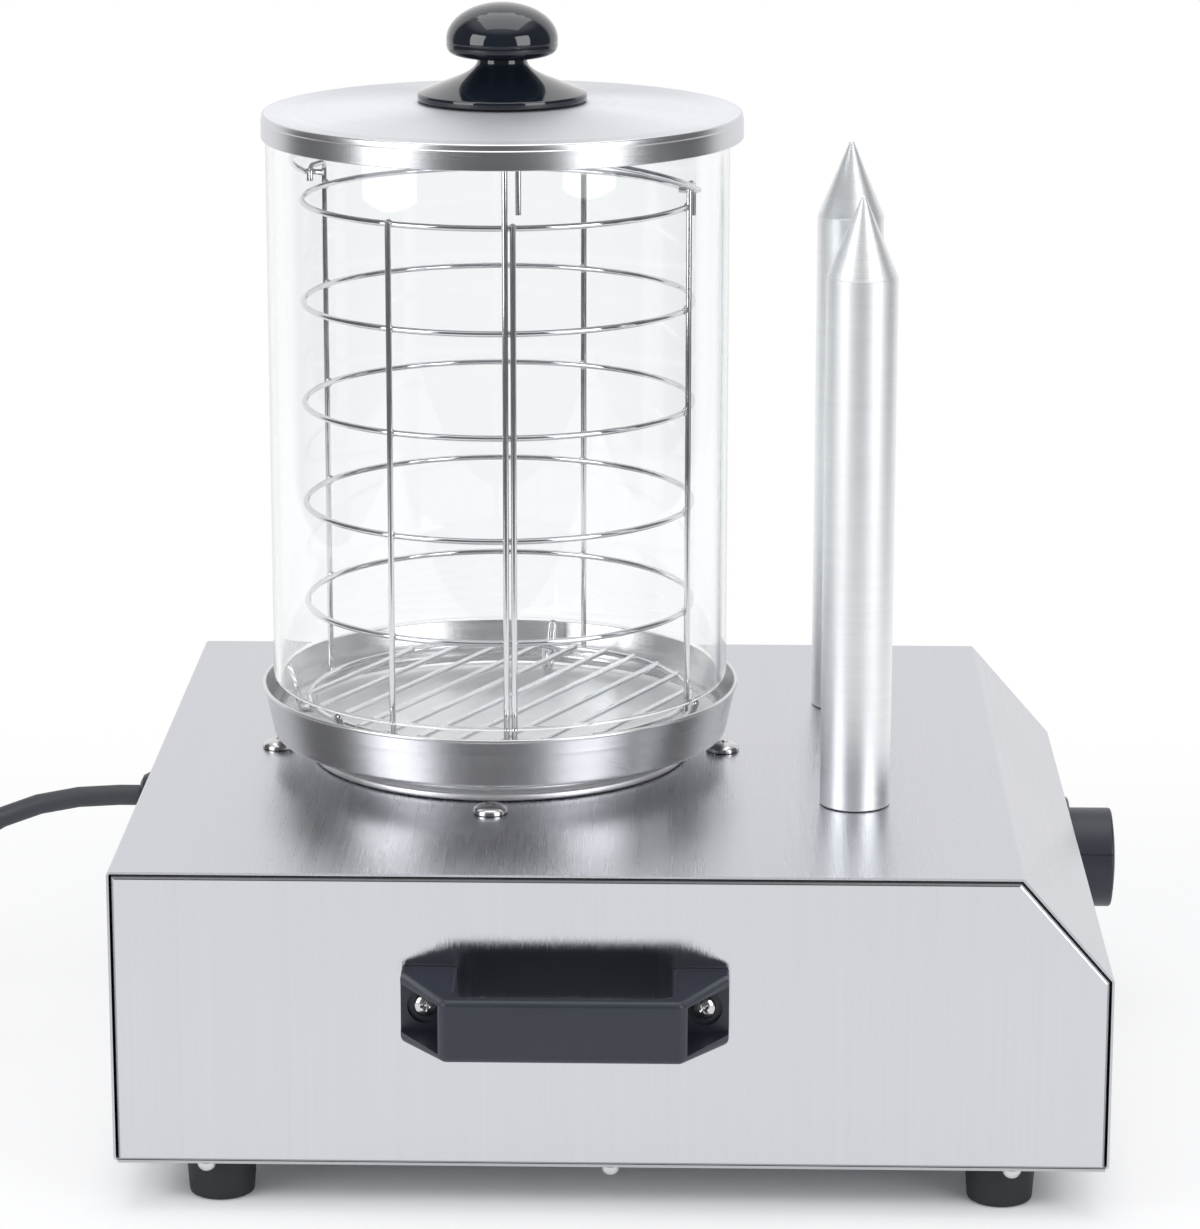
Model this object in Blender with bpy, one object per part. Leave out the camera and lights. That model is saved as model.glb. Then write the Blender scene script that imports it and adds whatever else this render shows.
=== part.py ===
"""Countertop hot dog maker: a stainless housing with a steamer and two heated bun spikes.

The frame is in metres with +Z up. The controls face -Y, the mains cable leaves at +Y,
and the origin lies on the table below the middle of the machine.
"""
import math

import bmesh
import bpy
import numpy as np
from mathutils import Matrix, Vector

# Fits shared by all pieces
GAP = 0.0003
WELD = 0.000001
OVERRUN = 0.004

# Housing
HOUSING_WIDTH = 0.3735
HOUSING_DEPTH = 0.4096
TOP_HEIGHT = 0.1465
SLOPE_RUN = 0.0377
SLOPE_DROP = 0.0431
UNDERSIDE_HEIGHT = 0.022
SHEET = 0.001
SEAM = 0.0008
FOLD_RADIUS = 0.0015
FLANGE = 0.012
BASE_SHEET = 0.0012
BASE_INSET = 0.0015
VENT_LENGTH = 0.05
VENT_WIDTH = 0.005
VENT_PITCH = 0.018
VENT_COUNT = 5
VENT_FORWARD = 0.09

# Feet and the fasteners below
FOOT_TOP_RADIUS = 0.015
FOOT_BOTTOM_RADIUS = 0.0135
FOOT_EDGE = 0.0012
FOOT_RECESS_RADIUS = 0.0065
FOOT_RECESS_DEPTH = 0.009
FOOT_SIDE_INSET = 0.0255
FOOT_REAR_INSET = 0.042
FOOT_FRONT_INSET = 0.043
SCREW_CROWN_SHARE = 0.72
SCREW_SHOULDER_SHARE = 0.8
FOOT_SCREW_RADIUS = 0.002
FOOT_SCREW_HEAD_RADIUS = 0.0045
FOOT_SCREW_HEAD_HEIGHT = 0.003
FOOT_SCREW_REACH = 0.004
BASE_SCREW_RADIUS = 0.0018
BASE_SCREW_HEAD_RADIUS = 0.004
BASE_SCREW_HEAD_HEIGHT = 0.0045
BASE_SCREW_REACH = 0.005
BASE_SCREW_SIDE_INSET = 0.0058
BASE_SCREW_REAR_INSET = 0.038
BASE_SCREW_FRONT_INSET = 0.0396

# Carrying handles
HANDLE_BACK = 0.1864
HANDLE_DROP = 0.0537
HANDLE_LENGTH = 0.1334
HANDLE_PROUD = 0.039
GRIP_LENGTH = 0.0962
GRIP_HEIGHT = 0.026
GRIP_THICKNESS = 0.011
GRIP_EDGE = 0.0025
GRIP_ROUND = 0.001
PAD_HEIGHT = 0.031
PAD_THICKNESS = 0.009
FINGER_GAP = 0.0876
FINGER_RADIUS = 0.006
HANDLE_SCREW_PITCH = 0.1133
POCKET_FLOOR = 0.0065
POCKET_HEIGHT = 0.0205
ARM_THICKNESS = 0.0062
COUNTERBORE_RADIUS = 0.0074
COUNTERBORE_DEPTH = 0.0018
HANDLE_SCREW_RADIUS = 0.0022
HANDLE_SCREW_HEAD_RADIUS = 0.0048
HANDLE_SCREW_HEAD_HEIGHT = 0.003
HANDLE_SCREW_REACH = 0.007

# Steam pan, its heater and its screws
PAN_BACK = 0.1519
PAN_RIM_RADIUS = 0.1051
PAN_RIM_HEIGHT = 0.0334
PAN_RIM_ROLL = 0.0009
PAN_FOOT_RADIUS = 0.1
PAN_FOOT_HEIGHT = 0.011
PAN_FLOOR_RADIUS = 0.09
PAN_FLOOR_HEIGHT = 0.0137
PAN_WALL = 0.0011
PAN_FOOT_EDGE = 0.0015
COLLAR_RADIUS = 0.079
COLLAR_WALL = 0.0012
COLLAR_FLANGE_RADIUS = 0.084
COLLAR_FLANGE_HEIGHT = 0.0037
COLLAR_HOLE_RADIUS = 0.066
HEATER_THICKNESS = 0.006
HEATER_RIB_INNER_RADIUS = 0.042
HEATER_RIB_OUTER_RADIUS = 0.052
HEATER_RIB_HEIGHT = 0.003
HEATER_BOSS_RADIUS = 0.011
BRACKET_RADIUS = 0.108
BRACKET_CUP_RADIUS = 0.061
BRACKET_CUP_DEPTH = 0.016
BRACKET_SHEET = 0.0012
BRACKET_HOLE_RADIUS = 0.005
PAN_SCREW_CIRCLE = 0.0987
PAN_SCREW_RADIUS = 0.0025
PAN_SCREW_HEAD_RADIUS = 0.0074
PAN_SCREW_HEAD_HEIGHT = 0.0042
PAN_SCREW_REACH = 0.006

# Glass cylinder and the wire rests below it
GLASS_RADIUS = 0.1
GLASS_WALL = 0.003
GLASS_FOOT_HEIGHT = 0.0355
GLASS_LENGTH = 0.248
GLASS_EDGE = 0.0006
REST_WIRE = 0.0019
REST_SPACING = 0.0025
REST_BEND = 0.0019
REST_TURN = 0.0012
REST_ARM_HEIGHT = 0.0107
REST_TOE_RADIUS = 0.0855
REST_HEEL_RADIUS = 0.0905
REST_TOP_RADIUS = 0.0975
REST_ANGLES = (78.0, 172.0, 227.0, 333.0)

# Wire basket and its bail
WIRE = 0.0026
WIRE_WELD = 0.0009
RING_RADIUS = 0.0845
RING_PITCH = 0.0443
RING_COUNT = 6
RING_STEPS = 36
PLAIN_UPRIGHT_ANGLES = (276.6, 240.7, 66.0)
FRONT_UPRIGHT_ANGLE = 274.4
LEFT_UPRIGHT_ANGLE = 156.0
HOOK_ROUND_SHARE = 0.92
BAR_SPACING = 0.016
BAR_COUNT = 10
BAR_SET = 0.0008
BAR_DIRECTION = (0.891, -0.454, 0.0)
HINGE_ANGLE = 163.95
HINGE_HEIGHT = 0.007
HOOK_BEND = 0.00295
RIGHT_HOOK_TAIL = 0.0111
LEFT_HOOK_TAIL = 0.0035
FRONT_HOOK_RISE = 0.0296
FRONT_HOOK_TAIL = 0.024
FRONT_HOOK_BEND = 0.0029
FRONT_HOOK_INSET = 0.0019
BAIL_RADIUS = 0.0897
BAIL_LEAN = 17.5
BAIL_STEPS = 26
BAIL_BEND = 0.0022
BAIL_STUB_RADIUS = 0.081

# Lid and its knob
LID_RADIUS = 0.10375
LID_STEP = 0.0004
LID_STEP_DROP = 0.0026
LID_SKIRT = 0.0098
LID_SHEET = 0.0011
LID_EDGE = 0.001
LID_DOME_RADIUS = 0.094
LID_DOME_HEIGHT = 0.0046
LID_SHIFT = 0.002
DOME_SHARES = (0.0, 0.45, 0.75, 1.0)
KNOB_FLANGE_RADIUS = 0.0365
KNOB_FLANGE_EDGE = 0.0012
KNOB_FLANGE_RISE = 0.0035
KNOB_FOOT_RADIUS = 0.0195
KNOB_NECK_RADIUS = 0.01175
KNOB_NECK_HEIGHT = 0.0158
KNOB_BALL_RADIUS = 0.024
KNOB_BALL_HEIGHT = 0.0272
KNOB_BALL_RISE = 0.0143
KNOB_BALL_SINK = 0.0105
KNOB_SCREW_RADIUS = 0.0022
KNOB_SCREW_REACH = 0.014
KNOB_SCREW_HEAD_RADIUS = 0.0048
KNOB_SCREW_HEAD_HEIGHT = 0.0028

# Heated spikes
SPIKE_SIDE = 0.08035
SPIKE_BACK = 0.3067
SPIKE_RADIUS = 0.01495
SPIKE_SHOULDER = 0.22765
SPIKE_HEIGHT = 0.2609
SPIKE_TIP_RADIUS = 0.0012
SPIKE_FOOT_EDGE = 0.0005
SPIGOT_RADIUS = 0.009
SPIGOT_LENGTH = 0.011
CARTRIDGE_RADIUS = 0.0062
CARTRIDGE_LENGTH = 0.21
CARTRIDGE_TAIL = 0.008
SPIKE_NUT_HEIGHT = 0.006
SPIKE_NUT_FLATS = 0.028

# Controls on the front
THERMOSTAT_SIDE = 0.088
THERMOSTAT_DROP = 0.0755
THERMOSTAT_KNOB_RADIUS = 0.023
THERMOSTAT_KNOB_SHOULDER = 0.0226
THERMOSTAT_KNOB_REACH = 0.0244
THERMOSTAT_KNOB_EDGE = 0.0012
THERMOSTAT_KNOB_WALL = 0.0025
THERMOSTAT_KNOB_HUB_RADIUS = 0.007
POINTER_ANGLE = 161.0
POINTER_WIDTH = 0.0008
POINTER_DEPTH = 0.0006
DIAL_RADIUS = 0.028
DIAL_THICKNESS = 0.0022
DIAL_EDGE = 0.0006
SHAFT_RADIUS = 0.003
SHAFT_INSIDE = 0.012
THERMOSTAT_BODY_WIDTH = 0.032
THERMOSTAT_BODY_HEIGHT = 0.028
THERMOSTAT_BODY_DEPTH = 0.026
THERMOSTAT_BODY_EDGE = 0.0015
SWITCH_SIDE = -0.11
LAMP_SIDE = -0.062
SWITCH_DROP = 0.079
SWITCH_BEZEL_WIDTH = 0.024
SWITCH_BEZEL_HEIGHT = 0.032
SWITCH_BEZEL_PROUD = 0.0028
SWITCH_BEZEL_EDGE = 0.0008
SWITCH_CAN_WIDTH = 0.02
SWITCH_CAN_HEIGHT = 0.028
SWITCH_CAN_DEPTH = 0.022
ROCKER_WIDTH = 0.0154
ROCKER_RADIUS = 0.0116
ROCKER_BACK = 0.004
ROCKER_END_PROUD = 0.0036
ROCKER_WAIST_PROUD = 0.0022
ROCKER_TILT = 9.0
ROCKER_WELL = 0.008
LAMP_LENS_RADIUS = 0.0065
LAMP_LENS_PROUD = 0.005
LAMP_BEZEL_RADIUS = 0.008
LAMP_BEZEL_PROUD = 0.0015
LAMP_BARREL_RADIUS = 0.0055
LAMP_BARREL_LENGTH = 0.018
TERMINAL_BACK = 0.05
TERMINAL_WIDTH = 0.034
TERMINAL_DEPTH = 0.02
TERMINAL_HEIGHT = 0.018
TERMINAL_SLOT_WIDTH = 0.007
TERMINAL_SLOT_DEPTH = 0.006
TERMINAL_RIB = 0.002

# Cable gland, cord and plug
GLAND_INSET = 0.05675
GLAND_DROP = 0.0615
GLAND_REACH = 0.026
GLAND_FLATS = 0.0245
GLAND_HEX_SHARE = 1.06
NUT_STRAIGHT_SHARE = 0.55
GLAND_HEX_THICKNESS = 0.0055
GLAND_NUT_RADIUS = 0.01275
GLAND_NUT_LENGTH = 0.016
GLAND_MOUTH_RADIUS = 0.0068
GLAND_THREAD_RADIUS = 0.0098
GLAND_THREAD_LENGTH = 0.012
LOCK_NUT_FLATS = 0.026
LOCK_NUT_THICKNESS = 0.005
CORD_RADIUS = 0.005
CORD_LENGTH = 1.8
CORD_POINT_STEP = 0.02
CORD_DRIFT = 0.0015
CORD_ROUTE = [
    (0.13, 0.262, 0.0835),
    (0.13, 0.298, 0.073),
    (0.1305, 0.331, 0.0495),
    (0.131, 0.36, 0.0225),
]
COIL_MEAN_RADIUS = 0.0556
COIL_PITCH = 0.0107
COIL_LAYER = 0.0107
COIL_TURNS = 4.46
COIL_STEPS = 24
COIL_CENTRE_Y = 0.412
PLUG_RADIUS = 0.018
PLUG_BODY_LENGTH = 0.032
PLUG_EDGE = 0.002
PLUG_BOOT_LENGTH = 0.034
PLUG_BOOT_RADIUS = 0.0092
PLUG_BOOT_TIP_RADIUS = 0.0064
PLUG_PIN_RADIUS = 0.0024
PLUG_PIN_LENGTH = 0.019
PLUG_PIN_SPACING = 0.019
PLUG_WAIST = 0.003

# Places worked out from the sizes above
HALF_WIDTH = HOUSING_WIDTH / 2
REAR_Y = (HOUSING_DEPTH + THERMOSTAT_KNOB_REACH - GLAND_REACH) / 2
FRONT_Y = REAR_Y - HOUSING_DEPTH
PAN_Y = REAR_Y - PAN_BACK
SPIKE_Y = REAR_Y - SPIKE_BACK
HANDLE_Y = REAR_Y - HANDLE_BACK
HANDLE_Z = TOP_HEIGHT - HANDLE_DROP
BASE_TOP = UNDERSIDE_HEIGHT - GAP
BASE_BOTTOM = BASE_TOP - BASE_SHEET
FOOT_HEIGHT = BASE_BOTTOM - GAP
THERMOSTAT_Z = TOP_HEIGHT - THERMOSTAT_DROP
SWITCH_Z = TOP_HEIGHT - SWITCH_DROP
GLAND_SIDE = HALF_WIDTH - GLAND_INSET
GLAND_Z = TOP_HEIGHT - GLAND_DROP
WIRE_RADIUS = WIRE / 2
REST_WIRE_RADIUS = REST_WIRE / 2
REST_FLOOR = PAN_FLOOR_HEIGHT + GAP + REST_WIRE_RADIUS
REST_INNER_TOP = PAN_FLOOR_HEIGHT + REST_ARM_HEIGHT
BASKET_FOOT = REST_INNER_TOP + GAP + WIRE_RADIUS
RING_TOP = BASKET_FOOT + RING_PITCH * (RING_COUNT - 1)
UPRIGHT_RADIUS = RING_RADIUS + WIRE - WIRE_WELD
HINGE_Z = RING_TOP + HINGE_HEIGHT
GLASS_TOP = GLASS_FOOT_HEIGHT + GLASS_LENGTH
LID_SEAT = GLASS_TOP + GAP
LID_Y = PAN_Y - LID_SHIFT

FINISHES = {
    "stainless_satin": ((0.62, 0.62, 0.61), 0.32, 1.0),
    "stainless_dark": ((0.45, 0.45, 0.46), 0.4, 1.0),
    "stainless_bright": ((0.74, 0.74, 0.75), 0.14, 1.0),
    "steel_screw": ((0.66, 0.66, 0.67), 0.22, 1.0),
    "aluminium": ((0.7, 0.7, 0.71), 0.3, 1.0),
    "zinc_steel": ((0.55, 0.56, 0.57), 0.38, 1.0),
    "glass_clear": ((0.92, 0.96, 0.95), 0.03, 0.0),
    "black_plastic": ((0.018, 0.018, 0.02), 0.42, 0.0),
    "black_gloss": ((0.012, 0.012, 0.014), 0.12, 0.0),
    "black_rubber": ((0.022, 0.022, 0.024), 0.7, 0.0),
    "cord_rubber": ((0.02, 0.02, 0.02), 0.6, 0.0),
    "dial_grey": ((0.06, 0.06, 0.065), 0.35, 0.0),
    "lamp_amber": ((0.75, 0.28, 0.04), 0.18, 0.0),
    "terminal_white": ((0.75, 0.74, 0.7), 0.5, 0.0),
}


def clear_scene():
    """Empty the scene that the model is built in."""
    for old in list(bpy.data.objects):
        bpy.data.objects.remove(old, do_unlink=True)


def finish(name):
    """Return the named material, made on its first use."""
    if name in bpy.data.materials:
        return bpy.data.materials[name]
    colour, roughness, metallic = FINISHES[name]
    made = bpy.data.materials.new(name)
    made.use_nodes = True
    shader = made.node_tree.nodes["Principled BSDF"]
    shader.inputs["Base Color"].default_value = (*colour, 1.0)
    shader.inputs["Roughness"].default_value = roughness
    shader.inputs["Metallic"].default_value = metallic
    made.diffuse_color = (*colour, 1.0)
    return made


def place(name, mesh, finish_name, location=(0, 0, 0), rotation=(0, 0, 0), parent=None):
    """Put a mesh in the scene as one named piece with its material."""
    piece = bpy.data.objects.new(name, mesh)
    piece.location = location
    piece.rotation_euler = rotation
    bpy.context.scene.collection.objects.link(piece)
    mesh.materials.clear()
    mesh.materials.append(finish(finish_name))
    if parent:
        piece.parent = parent
        piece.location = Vector(location) - parent.location
    return piece


def axis_empty(name, location):
    """Mark the axis that moving pieces share."""
    marker = bpy.data.objects.new(name, None)
    marker.location = location
    bpy.context.scene.collection.objects.link(marker)
    return marker


def to_mesh(form, name, sharp_above=None):
    """Turn a bmesh into a mesh, shaded smooth up to the given angle in degrees."""
    mesh = bpy.data.meshes.new(name)
    form.to_mesh(mesh)
    form.free()
    if sharp_above is not None:
        mesh.shade_smooth()
        mesh.set_sharp_from_angle(angle=math.radians(sharp_above))
    return mesh


def turned(profile, segments):
    """Revolve an outline of (radius, height) points about Z into a closed solid."""
    form = bmesh.new()
    verts = [form.verts.new((radius, 0, height)) for radius, height in profile]
    pairs = list(zip(verts, verts[1:]))
    if min(radius for radius, height in profile) > 0:
        pairs.append((verts[-1], verts[0]))
    edges = [form.edges.new(pair) for pair in pairs]
    bmesh.ops.spin(form, geom=verts + edges, cent=(0, 0, 0), axis=(0, 0, 1), dvec=(0, 0, 0),
                   angle=math.tau, steps=segments, use_merge=True, use_duplicate=False)
    bmesh.ops.remove_doubles(form, verts=form.verts, dist=WELD)
    bmesh.ops.recalc_face_normals(form, faces=form.faces)
    return form


def prism(outline, depth):
    """Raise a flat (x, y) outline by depth along Z."""
    form = bmesh.new()
    face = form.faces.new([form.verts.new((point[0], point[1], 0)) for point in outline])
    raised = bmesh.ops.extrude_face_region(form, geom=[face])
    top = [item for item in raised["geom"] if isinstance(item, bmesh.types.BMVert)]
    bmesh.ops.translate(form, verts=top, vec=(0, 0, depth))
    bmesh.ops.recalc_face_normals(form, faces=form.faces)
    return form


def block(low, high, edge=0, segments=1):
    """Make a box between two corners, with its edges rounded by edge."""
    form = bmesh.new()
    bmesh.ops.create_cube(form, size=1)
    low, high = Vector(low), Vector(high)
    size = high - low
    bmesh.ops.scale(form, verts=form.verts, vec=size)
    bmesh.ops.translate(form, verts=form.verts, vec=(low + high) / 2)
    if edge:
        bmesh.ops.bevel(form, geom=form.edges, offset=edge, segments=segments, affect="EDGES",
                        profile=0.5)
    return form


def hexagon(flats):
    """Return the corners of a hexagon of the given width across flats."""
    corner = flats / math.sqrt(3)
    return [(corner * math.cos(math.tau * step / 6), corner * math.sin(math.tau * step / 6))
            for step in range(6)]


def moved(form, matrix):
    """Carry a bmesh through a matrix and return it."""
    bmesh.ops.transform(form, matrix=matrix, verts=form.verts)
    return form


def joined(forms):
    """Gather several bmeshes into one."""
    whole = bmesh.new()
    for form in forms:
        part = bpy.data.meshes.new("part")
        form.to_mesh(part)
        form.free()
        whole.from_mesh(part)
        bpy.data.meshes.remove(part)
    return whole


def combine(piece, form, operation, label):
    """Join a hidden form to a piece, or cut it away, with a live Boolean."""
    tool = bpy.data.objects.new(f"{piece.name}_{label}", to_mesh(form, label))
    tool.hide_render = True
    tool.display_type = "WIRE"
    tool.location = piece.location
    tool.rotation_euler = piece.rotation_euler
    tool.parent = piece.parent
    bpy.context.scene.collection.objects.link(tool)
    modifier = piece.modifiers.new(label, "BOOLEAN")
    modifier.operation = operation
    modifier.solver = "EXACT"
    modifier.object = tool


def post(radius, low, high, x=0, y=0, segments=16):
    """Make an upright cylinder between two heights."""
    form = turned([(0, high), (radius, high), (radius, low), (0, low)], segments)
    return moved(form, Matrix.Translation((x, y, 0)))


def bar_along(axis, radius, low, high, first, second, segments=16):
    """Make a cylinder along X or Y, centred at the other two coordinates."""
    if axis == "X":
        turn = Matrix.Rotation(math.pi / 2, 4, "Y")
        shift = Matrix.Translation((0, first, second))
    else:
        turn = Matrix.Rotation(-math.pi / 2, 4, "X")
        shift = Matrix.Translation((first, 0, second))
    return moved(post(radius, low, high, segments=segments), shift @ turn)


def rounded(points, bend, steps, tighter=None):
    """Return the path through the points with each inner corner turned by an arc.

    A corner named in tighter, counted from 0, has its own radius there.
    """
    points = [Vector(point) for point in points]
    path = [points[0]]
    for index, (before, corner, after) in enumerate(zip(points, points[1:], points[2:])):
        radius = (tighter or {}).get(index, bend)
        back = (before - corner).normalized()
        onward = (after - corner).normalized()
        half = back.angle(onward) / 2
        centre = corner + (back + onward).normalized() * radius / math.sin(half)
        start = corner + back * radius / math.tan(half) - centre
        stop = corner + onward * radius / math.tan(half) - centre
        axis = start.cross(stop).normalized()
        for step in range(steps + 1):
            turn = Matrix.Rotation(start.angle(stop) * step / steps, 3, axis)
            path.append(centre + turn @ start)
    path.append(points[-1])
    return path


def strip(path, thickness):
    """Return the closed outline of a bent sheet whose outer face follows the path."""
    inner = []
    for index, point in enumerate(path):
        into = (point - path[index - 1]).normalized() if index else None
        out = (path[index + 1] - point).normalized() if index + 1 < len(path) else None
        sides = [Vector((-way.y, way.x, 0)) for way in (into, out) if way]
        mitre = sum(sides, Vector((0, 0, 0))).normalized()
        inner.append(point + mitre * thickness / mitre.dot(sides[0]))
    return [*path, *reversed(inner)]


def tube(name, points, radius, cyclic=False, resolution=1):
    """Return a curve object that sweeps a round section along the points."""
    curve = bpy.data.curves.new(name, "CURVE")
    curve.dimensions = "3D"
    curve.bevel_depth = radius
    curve.bevel_resolution = resolution
    curve.use_fill_caps = True
    spline = curve.splines.new("POLY")
    spline.points.add(len(points) - 1)
    for knot, point in zip(spline.points, points):
        knot.co = (point[0], point[1], point[2], 1)
        knot.radius = 1
    spline.use_cyclic_u = cyclic
    sweep = bpy.data.objects.new(name, curve)
    bpy.context.scene.collection.objects.link(sweep)
    return sweep


def wire_form(points, radius, cyclic=False):
    """Return a bmesh of round wire bent along the points."""
    sweep = tube("wire", points, radius, cyclic)
    view = bpy.context.evaluated_depsgraph_get()
    mesh = bpy.data.meshes.new_from_object(sweep.evaluated_get(view))
    curve = sweep.data
    bpy.data.objects.remove(sweep, do_unlink=True)
    bpy.data.curves.remove(curve)
    form = bmesh.new()
    form.from_mesh(mesh)
    bpy.data.meshes.remove(mesh)
    bmesh.ops.remove_doubles(form, verts=form.verts, dist=WELD)
    bmesh.ops.recalc_face_normals(form, faces=form.faces)
    return form


def round_place(radius, angle, height):
    """Return the point at a radius and angle about the steamer, 0 at the front, 90 at +X."""
    turn = math.radians(angle)
    return Vector((radius * math.sin(turn), -radius * math.cos(turn), height))


def side_outline(inset):
    """Return the five corners of the housing's side, drawn in by inset but for the underside."""
    slope = math.atan2(SLOPE_DROP, SLOPE_RUN)
    top_cut = inset * math.tan(slope / 2)
    front_cut = inset * math.tan((math.pi / 2 - slope) / 2)
    return [
        (REAR_Y - inset, UNDERSIDE_HEIGHT),
        (REAR_Y - inset, TOP_HEIGHT - inset),
        (FRONT_Y + SLOPE_RUN + top_cut, TOP_HEIGHT - inset),
        (FRONT_Y + inset, TOP_HEIGHT - SLOPE_DROP - front_cut),
        (FRONT_Y + inset, UNDERSIDE_HEIGHT),
    ]


ACROSS = Matrix(((0, 0, 1, 0), (1, 0, 0, 0), (0, 1, 0, 0), (0, 0, 0, 1)))


def screw_mesh(name, shank, reach, head, head_height, segments=8):
    """Make a pan-head screw, head up, with the underside of its head at the origin."""
    profile = [(0, head_height), (head * SCREW_CROWN_SHARE, head_height * SCREW_SHOULDER_SHARE),
               (head, 0), (shank, 0), (shank, -reach), (0, -reach)]
    return to_mesh(turned(profile, segments), name, 40)


def base_screw_places():
    """Return the x and y of the six screws that hold the base plate."""
    rows = (REAR_Y - BASE_SCREW_REAR_INSET, (REAR_Y + FRONT_Y) / 2, FRONT_Y + BASE_SCREW_FRONT_INSET)
    return [(side * (HALF_WIDTH - BASE_SCREW_SIDE_INSET), row) for side in (-1, 1) for row in rows]


def foot_places():
    """Return the x and y of the four feet."""
    rows = (REAR_Y - FOOT_REAR_INSET, FRONT_Y + FOOT_FRONT_INSET)
    return [(side * (HALF_WIDTH - FOOT_SIDE_INSET), row) for side in (-1, 1) for row in rows]


def pan_screw_places():
    """Return the x and y of the four dome screws round the pan."""
    return [(round_place(PAN_SCREW_CIRCLE, angle, 0).x, PAN_Y + round_place(PAN_SCREW_CIRCLE, angle, 0).y)
            for angle in (0, 90, 180, 270)]


def make_wrap_cover():
    """Bend the rear, top, slope and front from one sheet and pierce it for what it carries."""
    rear_low, rear_top, top_front, slope_low, front_low = side_outline(0)
    path = rounded([
        (REAR_Y - FLANGE, UNDERSIDE_HEIGHT, 0), (*rear_low, 0), (*rear_top, 0), (*top_front, 0),
        (*slope_low, 0), (*front_low, 0), (FRONT_Y + FLANGE, UNDERSIDE_HEIGHT, 0),
    ], FOLD_RADIUS, 2)
    sheet = moved(prism(strip(path, SHEET), HOUSING_WIDTH), Matrix.Translation((0, 0, -HALF_WIDTH)))
    cover = place("wrap_cover", to_mesh(moved(sheet, ACROSS), "wrap_cover", 30), "stainless_satin")
    low, high = TOP_HEIGHT - SHEET - OVERRUN, TOP_HEIGHT + OVERRUN
    holes = [post(BRACKET_CUP_RADIUS + GAP, low, high, y=PAN_Y, segments=32)]
    holes += [post(PAN_SCREW_RADIUS + GAP, low, high, x, y, 8) for x, y in pan_screw_places()]
    holes += [post(SPIGOT_RADIUS + GAP, low, high, side * SPIKE_SIDE, SPIKE_Y, 20) for side in (-1, 1)]
    outside, inside = FRONT_Y - OVERRUN, FRONT_Y + SHEET + OVERRUN
    holes.append(bar_along("Y", SHAFT_RADIUS + 2 * GAP, outside, inside, THERMOSTAT_SIDE, THERMOSTAT_Z))
    holes.append(bar_along("Y", LAMP_BARREL_RADIUS + GAP, outside, inside, LAMP_SIDE, SWITCH_Z))
    half_can = Vector((SWITCH_CAN_WIDTH / 2 + GAP, 0, SWITCH_CAN_HEIGHT / 2 + GAP))
    can_place = Vector((SWITCH_SIDE, 0, SWITCH_Z))
    holes.append(block(can_place - half_can + Vector((0, outside, 0)),
                       can_place + half_can + Vector((0, inside, 0))))
    rear_in, rear_out = REAR_Y - SHEET - OVERRUN, REAR_Y + OVERRUN
    holes.append(bar_along("Y", GLAND_THREAD_RADIUS + GAP, rear_in, rear_out, GLAND_SIDE, GLAND_Z, 24))
    notch_low, notch_high = UNDERSIDE_HEIGHT - OVERRUN, UNDERSIDE_HEIGHT + FOLD_RADIUS
    for side in (-1, 1):
        near, far = sorted((side * (HALF_WIDTH - FLANGE - GAP), side * (HALF_WIDTH + OVERRUN)))
        clear = SHEET + SEAM - GAP
        holes.append(block((near, FRONT_Y + clear, notch_low),
                           (far, FRONT_Y + FLANGE + OVERRUN, notch_high)))
        holes.append(block((near, REAR_Y - FLANGE - OVERRUN, notch_low),
                           (far, REAR_Y - clear, notch_high)))
    combine(cover, joined(holes), "DIFFERENCE", "holes")


def make_side_panel(name, side):
    """Fold one side panel as a shallow tray with its flanges turned inwards."""
    form = prism(side_outline(SHEET + SEAM), FLANGE)
    outer = [edge for edge in form.edges if all(vert.co.z < WELD for vert in edge.verts)]
    bmesh.ops.bevel(form, geom=outer, offset=FOLD_RADIUS, segments=2, affect="EDGES", profile=0.5)
    inner = [face for face in form.faces if all(vert.co.z > FLANGE - WELD for vert in face.verts)]
    bmesh.ops.delete(form, geom=inner, context="FACES_ONLY")
    form = moved(form, Matrix.Translation((-HALF_WIDTH, 0, 0)) @ ACROSS)
    if side > 0:
        form = moved(form, Matrix.Scale(-1, 4, (1, 0, 0)))
        bmesh.ops.reverse_faces(form, faces=form.faces)
    panel = place(name, to_mesh(form, name, 30), "stainless_satin")
    wall = panel.modifiers.new("wall", "SOLIDIFY")
    wall.thickness = SHEET
    wall.offset = -1
    wall.use_even_offset = True
    holes = []
    low, high = sorted((side * (HALF_WIDTH - SHEET - OVERRUN), side * (HALF_WIDTH + OVERRUN)))
    for end in (-1, 1):
        screw_y = HANDLE_Y + end * HANDLE_SCREW_PITCH / 2
        holes.append(bar_along("X", HANDLE_SCREW_RADIUS + GAP, low, high, screw_y, HANDLE_Z, 8))
    for x, y in base_screw_places():
        if x * side > 0:
            holes.append(post(BASE_SCREW_RADIUS + GAP, UNDERSIDE_HEIGHT - OVERRUN,
                              UNDERSIDE_HEIGHT + SHEET + OVERRUN, x, y, 8))
    combine(panel, joined(holes), "DIFFERENCE", "holes")


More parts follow.
